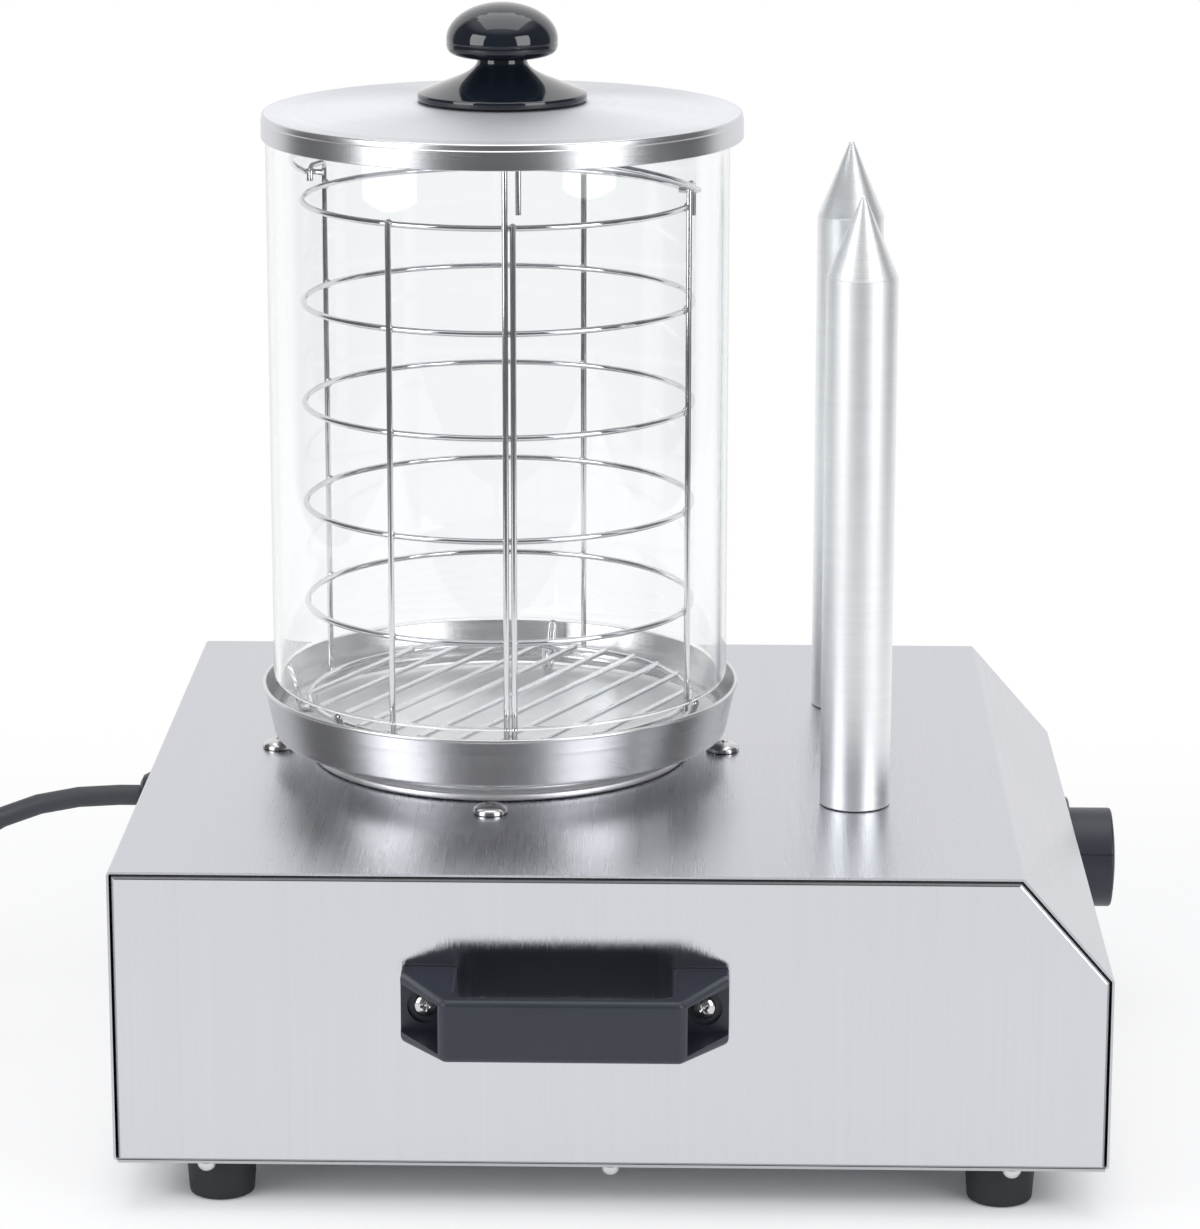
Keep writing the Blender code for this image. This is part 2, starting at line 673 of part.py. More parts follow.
def make_base():
    """Cut the base plate with its screw holes and two rows of air slots, and hang its screws."""
    low = (-HALF_WIDTH + BASE_INSET, FRONT_Y + BASE_INSET, BASE_BOTTOM)
    high = (HALF_WIDTH - BASE_INSET, REAR_Y - BASE_INSET, BASE_TOP)
    plate = place("base_plate", to_mesh(block(low, high), "base_plate"), "zinc_steel")
    below, above = BASE_BOTTOM - OVERRUN, BASE_TOP + OVERRUN
    holes = [post(BASE_SCREW_RADIUS + GAP, below, above, x, y, 8) for x, y in base_screw_places()]
    holes += [post(FOOT_SCREW_RADIUS + GAP, below, above, x, y, 8) for x, y in foot_places()]
    for row in (-VENT_FORWARD, VENT_FORWARD):
        for index in range(VENT_COUNT):
            x = (index - (VENT_COUNT - 1) / 2) * VENT_PITCH
            holes.append(block((x - VENT_WIDTH / 2, row - VENT_LENGTH / 2, below),
                               (x + VENT_WIDTH / 2, row + VENT_LENGTH / 2, above)))
    combine(plate, joined(holes), "DIFFERENCE", "holes")
    reach = BASE_SHEET + GAP + GAP + SHEET + BASE_SCREW_REACH
    mesh = screw_mesh("base_screw", BASE_SCREW_RADIUS, reach, BASE_SCREW_HEAD_RADIUS,
                      BASE_SCREW_HEAD_HEIGHT)
    for index, (x, y) in enumerate(base_screw_places(), 1):
        place(f"base_screw_{index}", mesh, "steel_screw", (x, y, BASE_BOTTOM - GAP), (math.pi, 0, 0))


def make_feet():
    """Mould the four rubber feet and set the screw in the recess below each."""
    hole = FOOT_SCREW_RADIUS + GAP
    profile = [
        (hole, FOOT_HEIGHT), (FOOT_TOP_RADIUS, FOOT_HEIGHT), (FOOT_BOTTOM_RADIUS, FOOT_EDGE),
        (FOOT_BOTTOM_RADIUS - FOOT_EDGE, 0), (FOOT_RECESS_RADIUS, 0),
        (FOOT_RECESS_RADIUS, FOOT_RECESS_DEPTH), (hole, FOOT_RECESS_DEPTH),
    ]
    foot = to_mesh(turned(profile, 14), "foot", 40)
    reach = FOOT_HEIGHT - FOOT_RECESS_DEPTH + GAP + BASE_SHEET + FOOT_SCREW_REACH
    screw = screw_mesh("foot_screw", FOOT_SCREW_RADIUS, reach, FOOT_SCREW_HEAD_RADIUS,
                       FOOT_SCREW_HEAD_HEIGHT)
    for index, (x, y) in enumerate(foot_places(), 1):
        place(f"foot_{index}", foot, "black_rubber", (x, y, 0))
        place(f"foot_screw_{index}", screw, "steel_screw", (x, y, FOOT_RECESS_DEPTH - GAP),
              (math.pi, 0, 0))


def make_handles():
    """Mould the two carrying handles with their finger gap and screw pockets, and their screws."""
    half, gap_half, grip_half = HANDLE_LENGTH / 2, FINGER_GAP / 2, GRIP_LENGTH / 2
    inside = HANDLE_PROUD - GRIP_THICKNESS
    outer = rounded([(0, -half, 0), (PAD_THICKNESS, -half, 0), (HANDLE_PROUD, -grip_half, 0),
                     (HANDLE_PROUD, grip_half, 0), (PAD_THICKNESS, half, 0), (0, half, 0)],
                    GRIP_EDGE + GRIP_ROUND, 2)
    inner = rounded([(0, gap_half, 0), (inside, gap_half, 0), (inside, -gap_half, 0),
                     (0, -gap_half, 0)], FINGER_RADIUS, 3)
    grip = moved(prism(outer + inner, GRIP_HEIGHT), Matrix.Translation((0, 0, -GRIP_HEIGHT / 2)))
    rims = [edge for edge in grip.edges if abs(edge.verts[0].co.z - edge.verts[1].co.z) < WELD]
    bmesh.ops.bevel(grip, geom=rims, offset=GRIP_EDGE, segments=1, affect="EDGES", profile=0.5,
                    clamp_overlap=True)
    for vert in grip.verts:
        vert.co.z *= 1 + (PAD_HEIGHT / GRIP_HEIGHT - 1) * (1 - vert.co.x / HANDLE_PROUD)
    mesh = to_mesh(grip, "handle", 35)
    for name, side in (("left_handle", -1), ("right_handle", 1)):
        turn = (0, 0, 0 if side > 0 else math.pi)
        handle = place(name, mesh, "black_plastic",
                       (side * (HALF_WIDTH + GAP), HANDLE_Y, HANDLE_Z), turn)
        pockets, counterbores, bores = [], [], []
        for end in (-1, 1):
            root, tip = end * (gap_half + ARM_THICKNESS), end * (half + OVERRUN)
            outline = [(root, -POCKET_HEIGHT / 2), (tip, -POCKET_HEIGHT / 2),
                       (tip, POCKET_HEIGHT / 2), (root, POCKET_HEIGHT / 2)]
            pocket = moved(prism(outline, HANDLE_PROUD), ACROSS)
            pockets.append(moved(pocket, Matrix.Translation((POCKET_FLOOR, 0, 0))))
            screw_y = end * HANDLE_SCREW_PITCH / 2
            counterbores.append(bar_along("X", COUNTERBORE_RADIUS, POCKET_FLOOR - COUNTERBORE_DEPTH,
                                          POCKET_FLOOR + OVERRUN, screw_y, 0, 16))
            bores.append(bar_along("X", HANDLE_SCREW_RADIUS + GAP, -OVERRUN, POCKET_FLOOR, screw_y, 0, 8))
        combine(handle, joined(pockets), "DIFFERENCE", "pockets")
        combine(handle, joined(counterbores), "DIFFERENCE", "counterbores")
        combine(handle, joined(bores), "DIFFERENCE", "bores")
    seat = POCKET_FLOOR - COUNTERBORE_DEPTH + GAP
    reach = seat + GAP + SHEET + HANDLE_SCREW_REACH
    screw = screw_mesh("handle_screw", HANDLE_SCREW_RADIUS, reach, HANDLE_SCREW_HEAD_RADIUS,
                       HANDLE_SCREW_HEAD_HEIGHT)
    index = 0
    for side in (-1, 1):
        for end in (-1, 1):
            index += 1
            spot = (side * (HALF_WIDTH + GAP + seat), HANDLE_Y + end * HANDLE_SCREW_PITCH / 2, HANDLE_Z)
            place(f"handle_screw_{index}", screw, "steel_screw", spot, (0, side * math.pi / 2, 0))


def make_pan():
    """Turn the steam pan with its rolled rim, welded collar and seating flange."""
    corner = PAN_FOOT_RADIUS - PAN_WALL - PAN_FLOOR_RADIUS
    bend = [(PAN_FLOOR_RADIUS + corner * math.sin(turn), PAN_FLOOR_HEIGHT + corner * (1 - math.cos(turn)))
            for turn in (math.radians(angle) for angle in (0, 40, 80))]
    wall_top = PAN_RIM_HEIGHT - 2 * PAN_RIM_ROLL
    lean = (PAN_RIM_RADIUS - PAN_RIM_ROLL - PAN_FOOT_RADIUS) / (wall_top - PAN_FOOT_HEIGHT)
    inner_collar = COLLAR_RADIUS - COLLAR_WALL
    profile = [
        (0, PAN_FLOOR_HEIGHT), *bend,
        (PAN_RIM_RADIUS - PAN_RIM_ROLL - PAN_WALL, wall_top),
        (PAN_RIM_RADIUS - 2 * PAN_RIM_ROLL, PAN_RIM_HEIGHT - PAN_RIM_ROLL),
        (PAN_RIM_RADIUS - PAN_RIM_ROLL, PAN_RIM_HEIGHT),
        (PAN_RIM_RADIUS, PAN_RIM_HEIGHT - PAN_RIM_ROLL),
        (PAN_RIM_RADIUS - PAN_RIM_ROLL, wall_top),
        (PAN_FOOT_RADIUS + lean * PAN_FOOT_EDGE, PAN_FOOT_HEIGHT + PAN_FOOT_EDGE),
        (PAN_FOOT_RADIUS - PAN_FOOT_EDGE, PAN_FOOT_HEIGHT),
        (COLLAR_RADIUS, PAN_FOOT_HEIGHT), (COLLAR_RADIUS, COLLAR_FLANGE_HEIGHT),
        (COLLAR_FLANGE_RADIUS - COLLAR_WALL, COLLAR_FLANGE_HEIGHT),
        (COLLAR_FLANGE_RADIUS, COLLAR_FLANGE_HEIGHT - COLLAR_WALL),
        (COLLAR_FLANGE_RADIUS, GAP), (COLLAR_HOLE_RADIUS, GAP),
        (COLLAR_HOLE_RADIUS, GAP + COLLAR_WALL), (inner_collar, GAP + COLLAR_WALL),
        (inner_collar, PAN_FOOT_HEIGHT), (0, PAN_FOOT_HEIGHT),
    ]
    mesh = to_mesh(turned(profile, 36), "pan", 30)
    place("pan", mesh, "stainless_satin", (0, PAN_Y, TOP_HEIGHT))


def make_pan_heater():
    """Cast the heating plate and press the bracket that holds it up, with the four dome screws."""
    radius = COLLAR_HOLE_RADIUS - 2 * GAP
    top = PAN_FOOT_HEIGHT - GAP
    under = top - HEATER_THICKNESS
    boss_end = -(SHEET + GAP) - BRACKET_CUP_DEPTH + BRACKET_SHEET + GAP
    profile = [
        (0, top), (radius, top), (radius, under), (HEATER_RIB_OUTER_RADIUS, under),
        (HEATER_RIB_OUTER_RADIUS, under - HEATER_RIB_HEIGHT),
        (HEATER_RIB_INNER_RADIUS, under - HEATER_RIB_HEIGHT), (HEATER_RIB_INNER_RADIUS, under),
        (HEATER_BOSS_RADIUS, under), (HEATER_BOSS_RADIUS, boss_end), (0, boss_end),
    ]
    plate = to_mesh(turned(profile, 20), "heating_plate", 30)
    place("heating_plate", plate, "aluminium", (0, PAN_Y, TOP_HEIGHT))
    face = -(SHEET + GAP)
    floor = face - BRACKET_CUP_DEPTH
    inner = BRACKET_CUP_RADIUS - BRACKET_SHEET
    cup = [
        (inner, face), (BRACKET_RADIUS, face), (BRACKET_RADIUS, face - BRACKET_SHEET),
        (BRACKET_CUP_RADIUS, face - BRACKET_SHEET), (BRACKET_CUP_RADIUS, floor),
        (BRACKET_HOLE_RADIUS, floor), (BRACKET_HOLE_RADIUS, floor + BRACKET_SHEET),
        (inner, floor + BRACKET_SHEET),
    ]
    bracket = place("heater_bracket", to_mesh(turned(cup, 20), "heater_bracket", 30), "zinc_steel",
                    (0, PAN_Y, TOP_HEIGHT))
    holes = [post(PAN_SCREW_RADIUS + GAP, face - BRACKET_SHEET - OVERRUN, face + OVERRUN,
                  x, y - PAN_Y, 8) for x, y in pan_screw_places()]
    combine(bracket, joined(holes), "DIFFERENCE", "holes")
    reach = GAP + SHEET + GAP + BRACKET_SHEET + PAN_SCREW_REACH
    screw = screw_mesh("pan_screw", PAN_SCREW_RADIUS, reach, PAN_SCREW_HEAD_RADIUS,
                       PAN_SCREW_HEAD_HEIGHT, 10)
    for index, (x, y) in enumerate(pan_screw_places(), 1):
        place(f"pan_screw_{index}", screw, "steel_screw", (x, y, TOP_HEIGHT + GAP))


def make_glass():
    """Turn the open glass cylinder with its ground edges."""
    inner = GLASS_RADIUS - GLASS_WALL
    foot, top = GLASS_FOOT_HEIGHT, GLASS_TOP
    profile = [
        (GLASS_RADIUS - GLASS_EDGE, top), (GLASS_RADIUS, top - GLASS_EDGE),
        (GLASS_RADIUS, foot + GLASS_EDGE), (GLASS_RADIUS - GLASS_EDGE, foot),
        (inner, foot), (inner, top),
    ]
    mesh = to_mesh(turned(profile, 44), "glass_cylinder", 30)
    place("glass_cylinder", mesh, "glass_clear", (0, PAN_Y, TOP_HEIGHT))


def make_glass_rests():
    """Bend the four hairpin wires that stand in the pan below the glass and the basket."""
    top = GLASS_FOOT_HEIGHT - GAP - REST_WIRE_RADIUS
    for index, angle in enumerate(REST_ANGLES, 1):
        aside = round_place(REST_SPACING / 2, angle + 90, 0)
        arm = [round_place(RING_RADIUS, angle, REST_INNER_TOP),
               round_place(REST_TOE_RADIUS, angle, REST_FLOOR),
               round_place(REST_HEEL_RADIUS, angle, REST_FLOOR),
               round_place(REST_TOP_RADIUS, angle, top)]
        hairpin = [point - aside for point in arm] + [point + aside for point in reversed(arm)]
        path = rounded(hairpin, REST_BEND, 2, {2: REST_TURN, 3: REST_TURN})
        mesh = to_mesh(wire_form(path, REST_WIRE_RADIUS), f"glass_rest_{index}", 60)
        place(f"glass_rest_{index}", mesh, "stainless_bright", (0, PAN_Y, TOP_HEIGHT))


def upright(angle, top):
    """Return the ends of one straight basket wire outside the rings."""
    return [round_place(UPRIGHT_RADIUS, angle, BASKET_FOOT - WIRE_RADIUS / 2),
            round_place(UPRIGHT_RADIUS, angle, top)]


def basket_wires():
    """Return the wires of the basket, its first ring first."""
    steps = [math.tau * step / RING_STEPS for step in range(RING_STEPS)]
    wires = []
    for ring in range(RING_COUNT):
        height = BASKET_FOOT + ring * RING_PITCH
        circle = [(RING_RADIUS * math.cos(turn), RING_RADIUS * math.sin(turn), height) for turn in steps]
        wires.append(wire_form(circle, WIRE_RADIUS, cyclic=True))
    for angle in PLAIN_UPRIGHT_ANGLES:
        wires.append(wire_form(upright(angle, RING_TOP + WIRE_RADIUS), WIRE_RADIUS))
    hook_top = HINGE_Z + HOOK_BEND
    half_turn = math.degrees(math.asin(HOOK_BEND / UPRIGHT_RADIUS))
    front_hinge = HINGE_ANGLE + 180
    right = upright(front_hinge - half_turn, hook_top)
    right += [round_place(UPRIGHT_RADIUS, front_hinge + half_turn, hook_top),
              round_place(UPRIGHT_RADIUS, front_hinge + half_turn, HINGE_Z - RIGHT_HOOK_TAIL)]
    left = upright(LEFT_UPRIGHT_ANGLE, hook_top)
    left += [round_place(UPRIGHT_RADIUS, HINGE_ANGLE + half_turn, hook_top),
             round_place(UPRIGHT_RADIUS, HINGE_ANGLE + half_turn, HINGE_Z - LEFT_HOOK_TAIL)]
    front_top = RING_TOP + FRONT_HOOK_RISE
    front_turn = math.degrees(2 * math.asin(FRONT_HOOK_BEND / UPRIGHT_RADIUS))
    front = upright(FRONT_UPRIGHT_ANGLE, front_top)
    front += [round_place(UPRIGHT_RADIUS - FRONT_HOOK_INSET, FRONT_UPRIGHT_ANGLE + front_turn, front_top),
              round_place(UPRIGHT_RADIUS - FRONT_HOOK_INSET, FRONT_UPRIGHT_ANGLE + front_turn,
                          front_top - FRONT_HOOK_TAIL)]
    for hook in (right, left, front):
        wires.append(wire_form(rounded(hook, HOOK_BEND * HOOK_ROUND_SHARE, 3), WIRE_RADIUS))
    along = Vector(BAR_DIRECTION).normalized()
    across = Vector((-along.y, along.x, 0))
    for index in range(BAR_COUNT):
        offset = (index - (BAR_COUNT - 1) / 2) * BAR_SPACING
        half = math.sqrt(RING_RADIUS ** 2 - offset ** 2)
        middle = across * offset + Vector((0, 0, BASKET_FOOT + BAR_SET))
        wires.append(wire_form([middle - along * half, middle + along * half], WIRE_RADIUS))
    return wires


def make_basket():
    """Weld the rings, uprights, hooks and bottom bars into one basket."""
    wires = basket_wires()
    basket = place("basket", to_mesh(wires[0], "basket", 50), "stainless_bright", (0, PAN_Y, TOP_HEIGHT))
    group = bpy.data.collections.new("basket_wires")
    bpy.context.scene.collection.children.link(group)
    for index, form in enumerate(wires[1:]):
        tool = bpy.data.objects.new(f"basket_wire_{index}", to_mesh(form, "basket_wire", 50))
        tool.location = basket.location
        tool.hide_render = True
        tool.display_type = "WIRE"
        group.objects.link(tool)
    weld = basket.modifiers.new("weld", "BOOLEAN")
    weld.operation = "UNION"
    weld.solver = "EXACT"
    weld.operand_type = "COLLECTION"
    weld.collection = group


def make_bail():
    """Bend the bail that swings in the hooks at the basket's rim, leaning on the front hook."""
    hinge = round_place(1, HINGE_ANGLE, 0)
    level = Vector((-hinge.y, hinge.x, 0))
    lean = math.radians(BAIL_LEAN)
    rise = level * math.cos(lean) + Vector((0, 0, math.sin(lean)))
    first = 2 * BAIL_BEND / BAIL_RADIUS
    turns = [first + (math.pi - 2 * first) * step / BAIL_STEPS for step in range(BAIL_STEPS + 1)]
    arch = [(hinge * math.cos(turn) + rise * math.sin(turn)) * BAIL_RADIUS for turn in turns]
    start = rounded([hinge * BAIL_STUB_RADIUS, hinge * BAIL_RADIUS, arch[0]], BAIL_BEND, 3)
    stop = rounded([arch[-1], -hinge * BAIL_RADIUS, -hinge * BAIL_STUB_RADIUS], BAIL_BEND, 3)
    mesh = to_mesh(wire_form(start[:-1] + arch + stop[1:], WIRE_RADIUS), "basket_bail", 60)
    place("basket_bail", mesh, "stainless_bright", (0, PAN_Y, TOP_HEIGHT + HINGE_Z))


def make_lid():
    """Turn the lid and its knob, with the screw that joins them from below."""
    axis = axis_empty("lid_axis", (0, LID_Y, TOP_HEIGHT + LID_SEAT))
    bore = KNOB_SCREW_RADIUS + GAP
    dome = [(LID_DOME_RADIUS * share, LID_DOME_HEIGHT * (1 - share ** 2)) for share in DOME_SHARES]
    dome[0] = (bore, LID_DOME_HEIGHT)
    upper = [(radius, height + LID_SHEET) for radius, height in dome]
    step_radius = LID_RADIUS - LID_STEP
    step_height = LID_SHEET - LID_STEP_DROP
    profile = [
        *upper, (step_radius - LID_EDGE, LID_SHEET), (step_radius, LID_SHEET - LID_EDGE),
        (step_radius, step_height), (LID_RADIUS, step_height - LID_STEP),
        (LID_RADIUS, -LID_SKIRT), (LID_RADIUS - LID_SHEET, -LID_SKIRT),
        (LID_RADIUS - LID_SHEET, 0), *reversed(dome),
    ]
    place("lid", to_mesh(turned(profile, 44), "lid", 25), "stainless_satin", axis.location, parent=axis)
    foot = LID_SHEET + LID_DOME_HEIGHT + GAP
    low_turn = math.acos(KNOB_NECK_RADIUS / KNOB_BALL_RADIUS)
    under = [(KNOB_BALL_RADIUS * math.cos(turn), KNOB_BALL_HEIGHT - KNOB_BALL_SINK * math.sin(turn))
             for turn in (low_turn, low_turn / 2)]
    over = [(KNOB_BALL_RADIUS * math.cos(turn), KNOB_BALL_HEIGHT + KNOB_BALL_RISE * math.sin(turn))
            for turn in (math.radians(angle) for angle in (0, 24, 48, 70))]
    outline = [
        (0, KNOB_SCREW_REACH + GAP), (bore, KNOB_SCREW_REACH + GAP), (bore, 0),
        (KNOB_FLANGE_RADIUS - KNOB_FLANGE_EDGE, 0), (KNOB_FLANGE_RADIUS, KNOB_FLANGE_EDGE / 2),
        (KNOB_FLANGE_RADIUS - KNOB_FLANGE_EDGE, KNOB_FLANGE_EDGE),
        (KNOB_FOOT_RADIUS, KNOB_FLANGE_RISE), (KNOB_NECK_RADIUS, KNOB_NECK_HEIGHT), *under, *over,
        (0, KNOB_BALL_HEIGHT + KNOB_BALL_RISE),
    ]
    knob = to_mesh(turned(outline, 24), "lid_knob", 35)
    place("lid_knob", knob, "black_gloss", axis.location + Vector((0, 0, foot)), parent=axis)
    reach = GAP + LID_SHEET + GAP + KNOB_SCREW_REACH
    screw = screw_mesh("lid_knob_screw", KNOB_SCREW_RADIUS, reach, KNOB_SCREW_HEAD_RADIUS,
                       KNOB_SCREW_HEAD_HEIGHT)
    place("lid_knob_screw", screw, "steel_screw", axis.location + Vector((0, 0, LID_DOME_HEIGHT - GAP)),
          (math.pi, 0, 0), axis)


def make_spikes():
    """Turn the two bun spikes, bored for their heater cartridges, with the nuts below the top."""
    bore = CARTRIDGE_RADIUS + GAP
    cartridge_foot = -(SPIGOT_LENGTH + CARTRIDGE_TAIL)
    cartridge_top = cartridge_foot + CARTRIDGE_LENGTH
    profile = [
        (0, cartridge_top + GAP), (bore, cartridge_top + GAP), (bore, -SPIGOT_LENGTH),
        (SPIGOT_RADIUS, -SPIGOT_LENGTH), (SPIGOT_RADIUS, GAP), (SPIKE_RADIUS - SPIKE_FOOT_EDGE, GAP),
        (SPIKE_RADIUS, GAP + SPIKE_FOOT_EDGE), (SPIKE_RADIUS, SPIKE_SHOULDER),
        (SPIKE_TIP_RADIUS, SPIKE_HEIGHT - SPIKE_TIP_RADIUS), (0, SPIKE_HEIGHT),
    ]
    spike = to_mesh(turned(profile, 22), "spike", 25)
    cartridge = to_mesh(post(CARTRIDGE_RADIUS, cartridge_foot, cartridge_top, segments=14),
                        "spike_heater", 40)
    top = -(SHEET + GAP)
    for side, name in ((-1, "left"), (1, "right")):
        spot = (side * SPIKE_SIDE, SPIKE_Y, TOP_HEIGHT)
        place(f"{name}_spike", spike, "aluminium", spot)
        place(f"{name}_spike_heater", cartridge, "stainless_dark", spot)
        hexed = moved(prism(hexagon(SPIKE_NUT_FLATS), SPIKE_NUT_HEIGHT),
                      Matrix.Translation((0, 0, top - SPIKE_NUT_HEIGHT)))
        nut = place(f"{name}_spike_nut", to_mesh(hexed, "spike_nut"), "zinc_steel", spot)
        combine(nut, post(SPIGOT_RADIUS + GAP, top - SPIKE_NUT_HEIGHT - OVERRUN, top + OVERRUN,
                          segments=20), "DIFFERENCE", "bore")


def make_thermostat():
    """Make the thermostat behind the front, its shaft, dial plate and pointer knob."""
    forward = (math.pi / 2, 0, 0)
    axis = axis_empty("thermostat_axis", (THERMOSTAT_SIDE, FRONT_Y, THERMOSTAT_Z))
    hole = SHAFT_RADIUS + 2 * GAP
    dial = [(hole, DIAL_THICKNESS), (DIAL_RADIUS - DIAL_EDGE, DIAL_THICKNESS),
            (DIAL_RADIUS, DIAL_THICKNESS - DIAL_EDGE), (DIAL_RADIUS, 0), (hole, 0)]
    place("dial_plate", to_mesh(turned(dial, 24), "dial_plate", 30), "dial_grey",
          axis.location + Vector((0, -GAP, 0)), forward)
    foot = GAP + DIAL_THICKNESS + GAP
    shoulder, wall = THERMOSTAT_KNOB_SHOULDER, THERMOSTAT_KNOB_WALL
    ceiling = shoulder - wall
    bore_end = ceiling - wall
    radius = THERMOSTAT_KNOB_RADIUS
    outline = [
        (0, THERMOSTAT_KNOB_REACH), (radius / 2, shoulder + (THERMOSTAT_KNOB_REACH - shoulder) * 3 / 4),
        (radius - THERMOSTAT_KNOB_EDGE, shoulder), (radius, shoulder - THERMOSTAT_KNOB_EDGE),
        (radius, foot), (radius - wall, foot), (radius - wall, ceiling),
        (THERMOSTAT_KNOB_HUB_RADIUS, ceiling), (THERMOSTAT_KNOB_HUB_RADIUS, foot),
        (SHAFT_RADIUS + GAP, foot), (SHAFT_RADIUS + GAP, bore_end), (0, bore_end),
    ]
    knob = place("thermostat_knob", to_mesh(turned(outline, 26), "thermostat_knob", 30),
                 "black_plastic", axis.location, forward, axis)
    line = block((radius - POINTER_DEPTH, -POINTER_WIDTH / 2, foot + wall),
                 (radius + OVERRUN, POINTER_WIDTH / 2, THERMOSTAT_KNOB_REACH + OVERRUN))
    turn = Matrix.Rotation(math.radians(POINTER_ANGLE), 4, "Z")
    combine(knob, moved(line, turn), "DIFFERENCE", "pointer")
    shaft = post(SHAFT_RADIUS, -SHEET - GAP - SHAFT_INSIDE, bore_end - GAP, segments=16)
    place("thermostat_shaft", to_mesh(shaft, "thermostat_shaft", 40), "steel_screw",
          axis.location, forward, axis)
    low = (-THERMOSTAT_BODY_WIDTH / 2, SHEET + GAP, -THERMOSTAT_BODY_HEIGHT / 2)
    high = (THERMOSTAT_BODY_WIDTH / 2, SHEET + GAP + THERMOSTAT_BODY_DEPTH, THERMOSTAT_BODY_HEIGHT / 2)
    body = place("thermostat_body", to_mesh(block(low, high, THERMOSTAT_BODY_EDGE), "thermostat_body"),
                 "black_plastic", axis.location)
    combine(body, bar_along("Y", SHAFT_RADIUS + GAP, -OVERRUN, SHEET + GAP + SHAFT_INSIDE + GAP, 0, 0),
            "DIFFERENCE", "bore")


def make_switch_and_lamp():
    """Make the rocker switch with its well, and the pilot lamp beside it."""
    spot = (SWITCH_SIDE, FRONT_Y, SWITCH_Z)
    back, front = -GAP, -GAP - SWITCH_BEZEL_PROUD
    bezel = block((-SWITCH_BEZEL_WIDTH / 2, front, -SWITCH_BEZEL_HEIGHT / 2),
                  (SWITCH_BEZEL_WIDTH / 2, back, SWITCH_BEZEL_HEIGHT / 2), SWITCH_BEZEL_EDGE)
    body = place("switch_body", to_mesh(bezel, "switch_body"), "black_plastic", spot)
    can = block((-SWITCH_CAN_WIDTH / 2, (front + back) / 2, -SWITCH_CAN_HEIGHT / 2),
                (SWITCH_CAN_WIDTH / 2, SWITCH_CAN_DEPTH, SWITCH_CAN_HEIGHT / 2))
    combine(body, can, "UNION", "can")
    half_width, half_height = ROCKER_WIDTH / 2 + GAP, ROCKER_RADIUS + 2 * GAP
    well = block((-half_width, front - OVERRUN, -half_height), (half_width, ROCKER_WELL, half_height))
    combine(body, well, "DIFFERENCE", "well")
    front_turn = math.asin(ROCKER_END_PROUD / ROCKER_RADIUS)
    back_turn = math.asin(ROCKER_BACK / ROCKER_RADIUS)
    turns = [-front_turn + (front_turn + back_turn) * step / 4 for step in range(5)]
    low_end = [(ROCKER_RADIUS * math.sin(turn), -ROCKER_RADIUS * math.cos(turn)) for turn in turns]
    high_end = [(depth, -height) for depth, height in reversed(low_end)]
    outline = low_end + high_end + [(-ROCKER_WAIST_PROUD, 0)]
    form = moved(prism(outline, ROCKER_WIDTH), Matrix.Translation((0, 0, -ROCKER_WIDTH / 2)))
    rocker = to_mesh(moved(form, ACROSS), "power_rocker", 40)
    place("power_rocker", rocker, "black_gloss", spot, (math.radians(ROCKER_TILT), 0, 0))
    dome = [(LAMP_LENS_RADIUS * math.cos(turn),
             LAMP_BEZEL_PROUD + (LAMP_LENS_PROUD - LAMP_BEZEL_PROUD) * math.sin(turn))
            for turn in (math.radians(angle) for angle in (60, 30, 0))]
    profile = [(0, LAMP_LENS_PROUD), *dome, (LAMP_BEZEL_RADIUS, LAMP_BEZEL_PROUD),
               (LAMP_BEZEL_RADIUS, GAP), (LAMP_BARREL_RADIUS, GAP),
               (LAMP_BARREL_RADIUS, -LAMP_BARREL_LENGTH), (0, -LAMP_BARREL_LENGTH)]
    lamp = to_mesh(turned(profile, 14), "pilot_lamp", 40)
    place("pilot_lamp", lamp, "lamp_amber", (LAMP_SIDE, FRONT_Y, SWITCH_Z), (math.pi / 2, 0, 0))


def make_terminal_block():
    """Make the terminal block on the base plate, ribbed between its three ways."""
    body = block((-TERMINAL_WIDTH / 2, -TERMINAL_DEPTH / 2, 0),
                 (TERMINAL_WIDTH / 2, TERMINAL_DEPTH / 2, TERMINAL_HEIGHT))
    spot = (GLAND_SIDE, REAR_Y - TERMINAL_BACK, BASE_TOP + GAP)
    terminal = place("terminal_block", to_mesh(body, "terminal_block"), "terminal_white", spot)
    pitch = TERMINAL_SLOT_WIDTH + TERMINAL_RIB
    slots = [block((way * pitch - TERMINAL_SLOT_WIDTH / 2, -TERMINAL_DEPTH / 2 - OVERRUN,
                    TERMINAL_HEIGHT - TERMINAL_SLOT_DEPTH),
                   (way * pitch + TERMINAL_SLOT_WIDTH / 2, TERMINAL_DEPTH / 2 + OVERRUN,
                    TERMINAL_HEIGHT + OVERRUN)) for way in (-1, 0, 1)]
    combine(terminal, joined(slots), "DIFFERENCE", "slots")


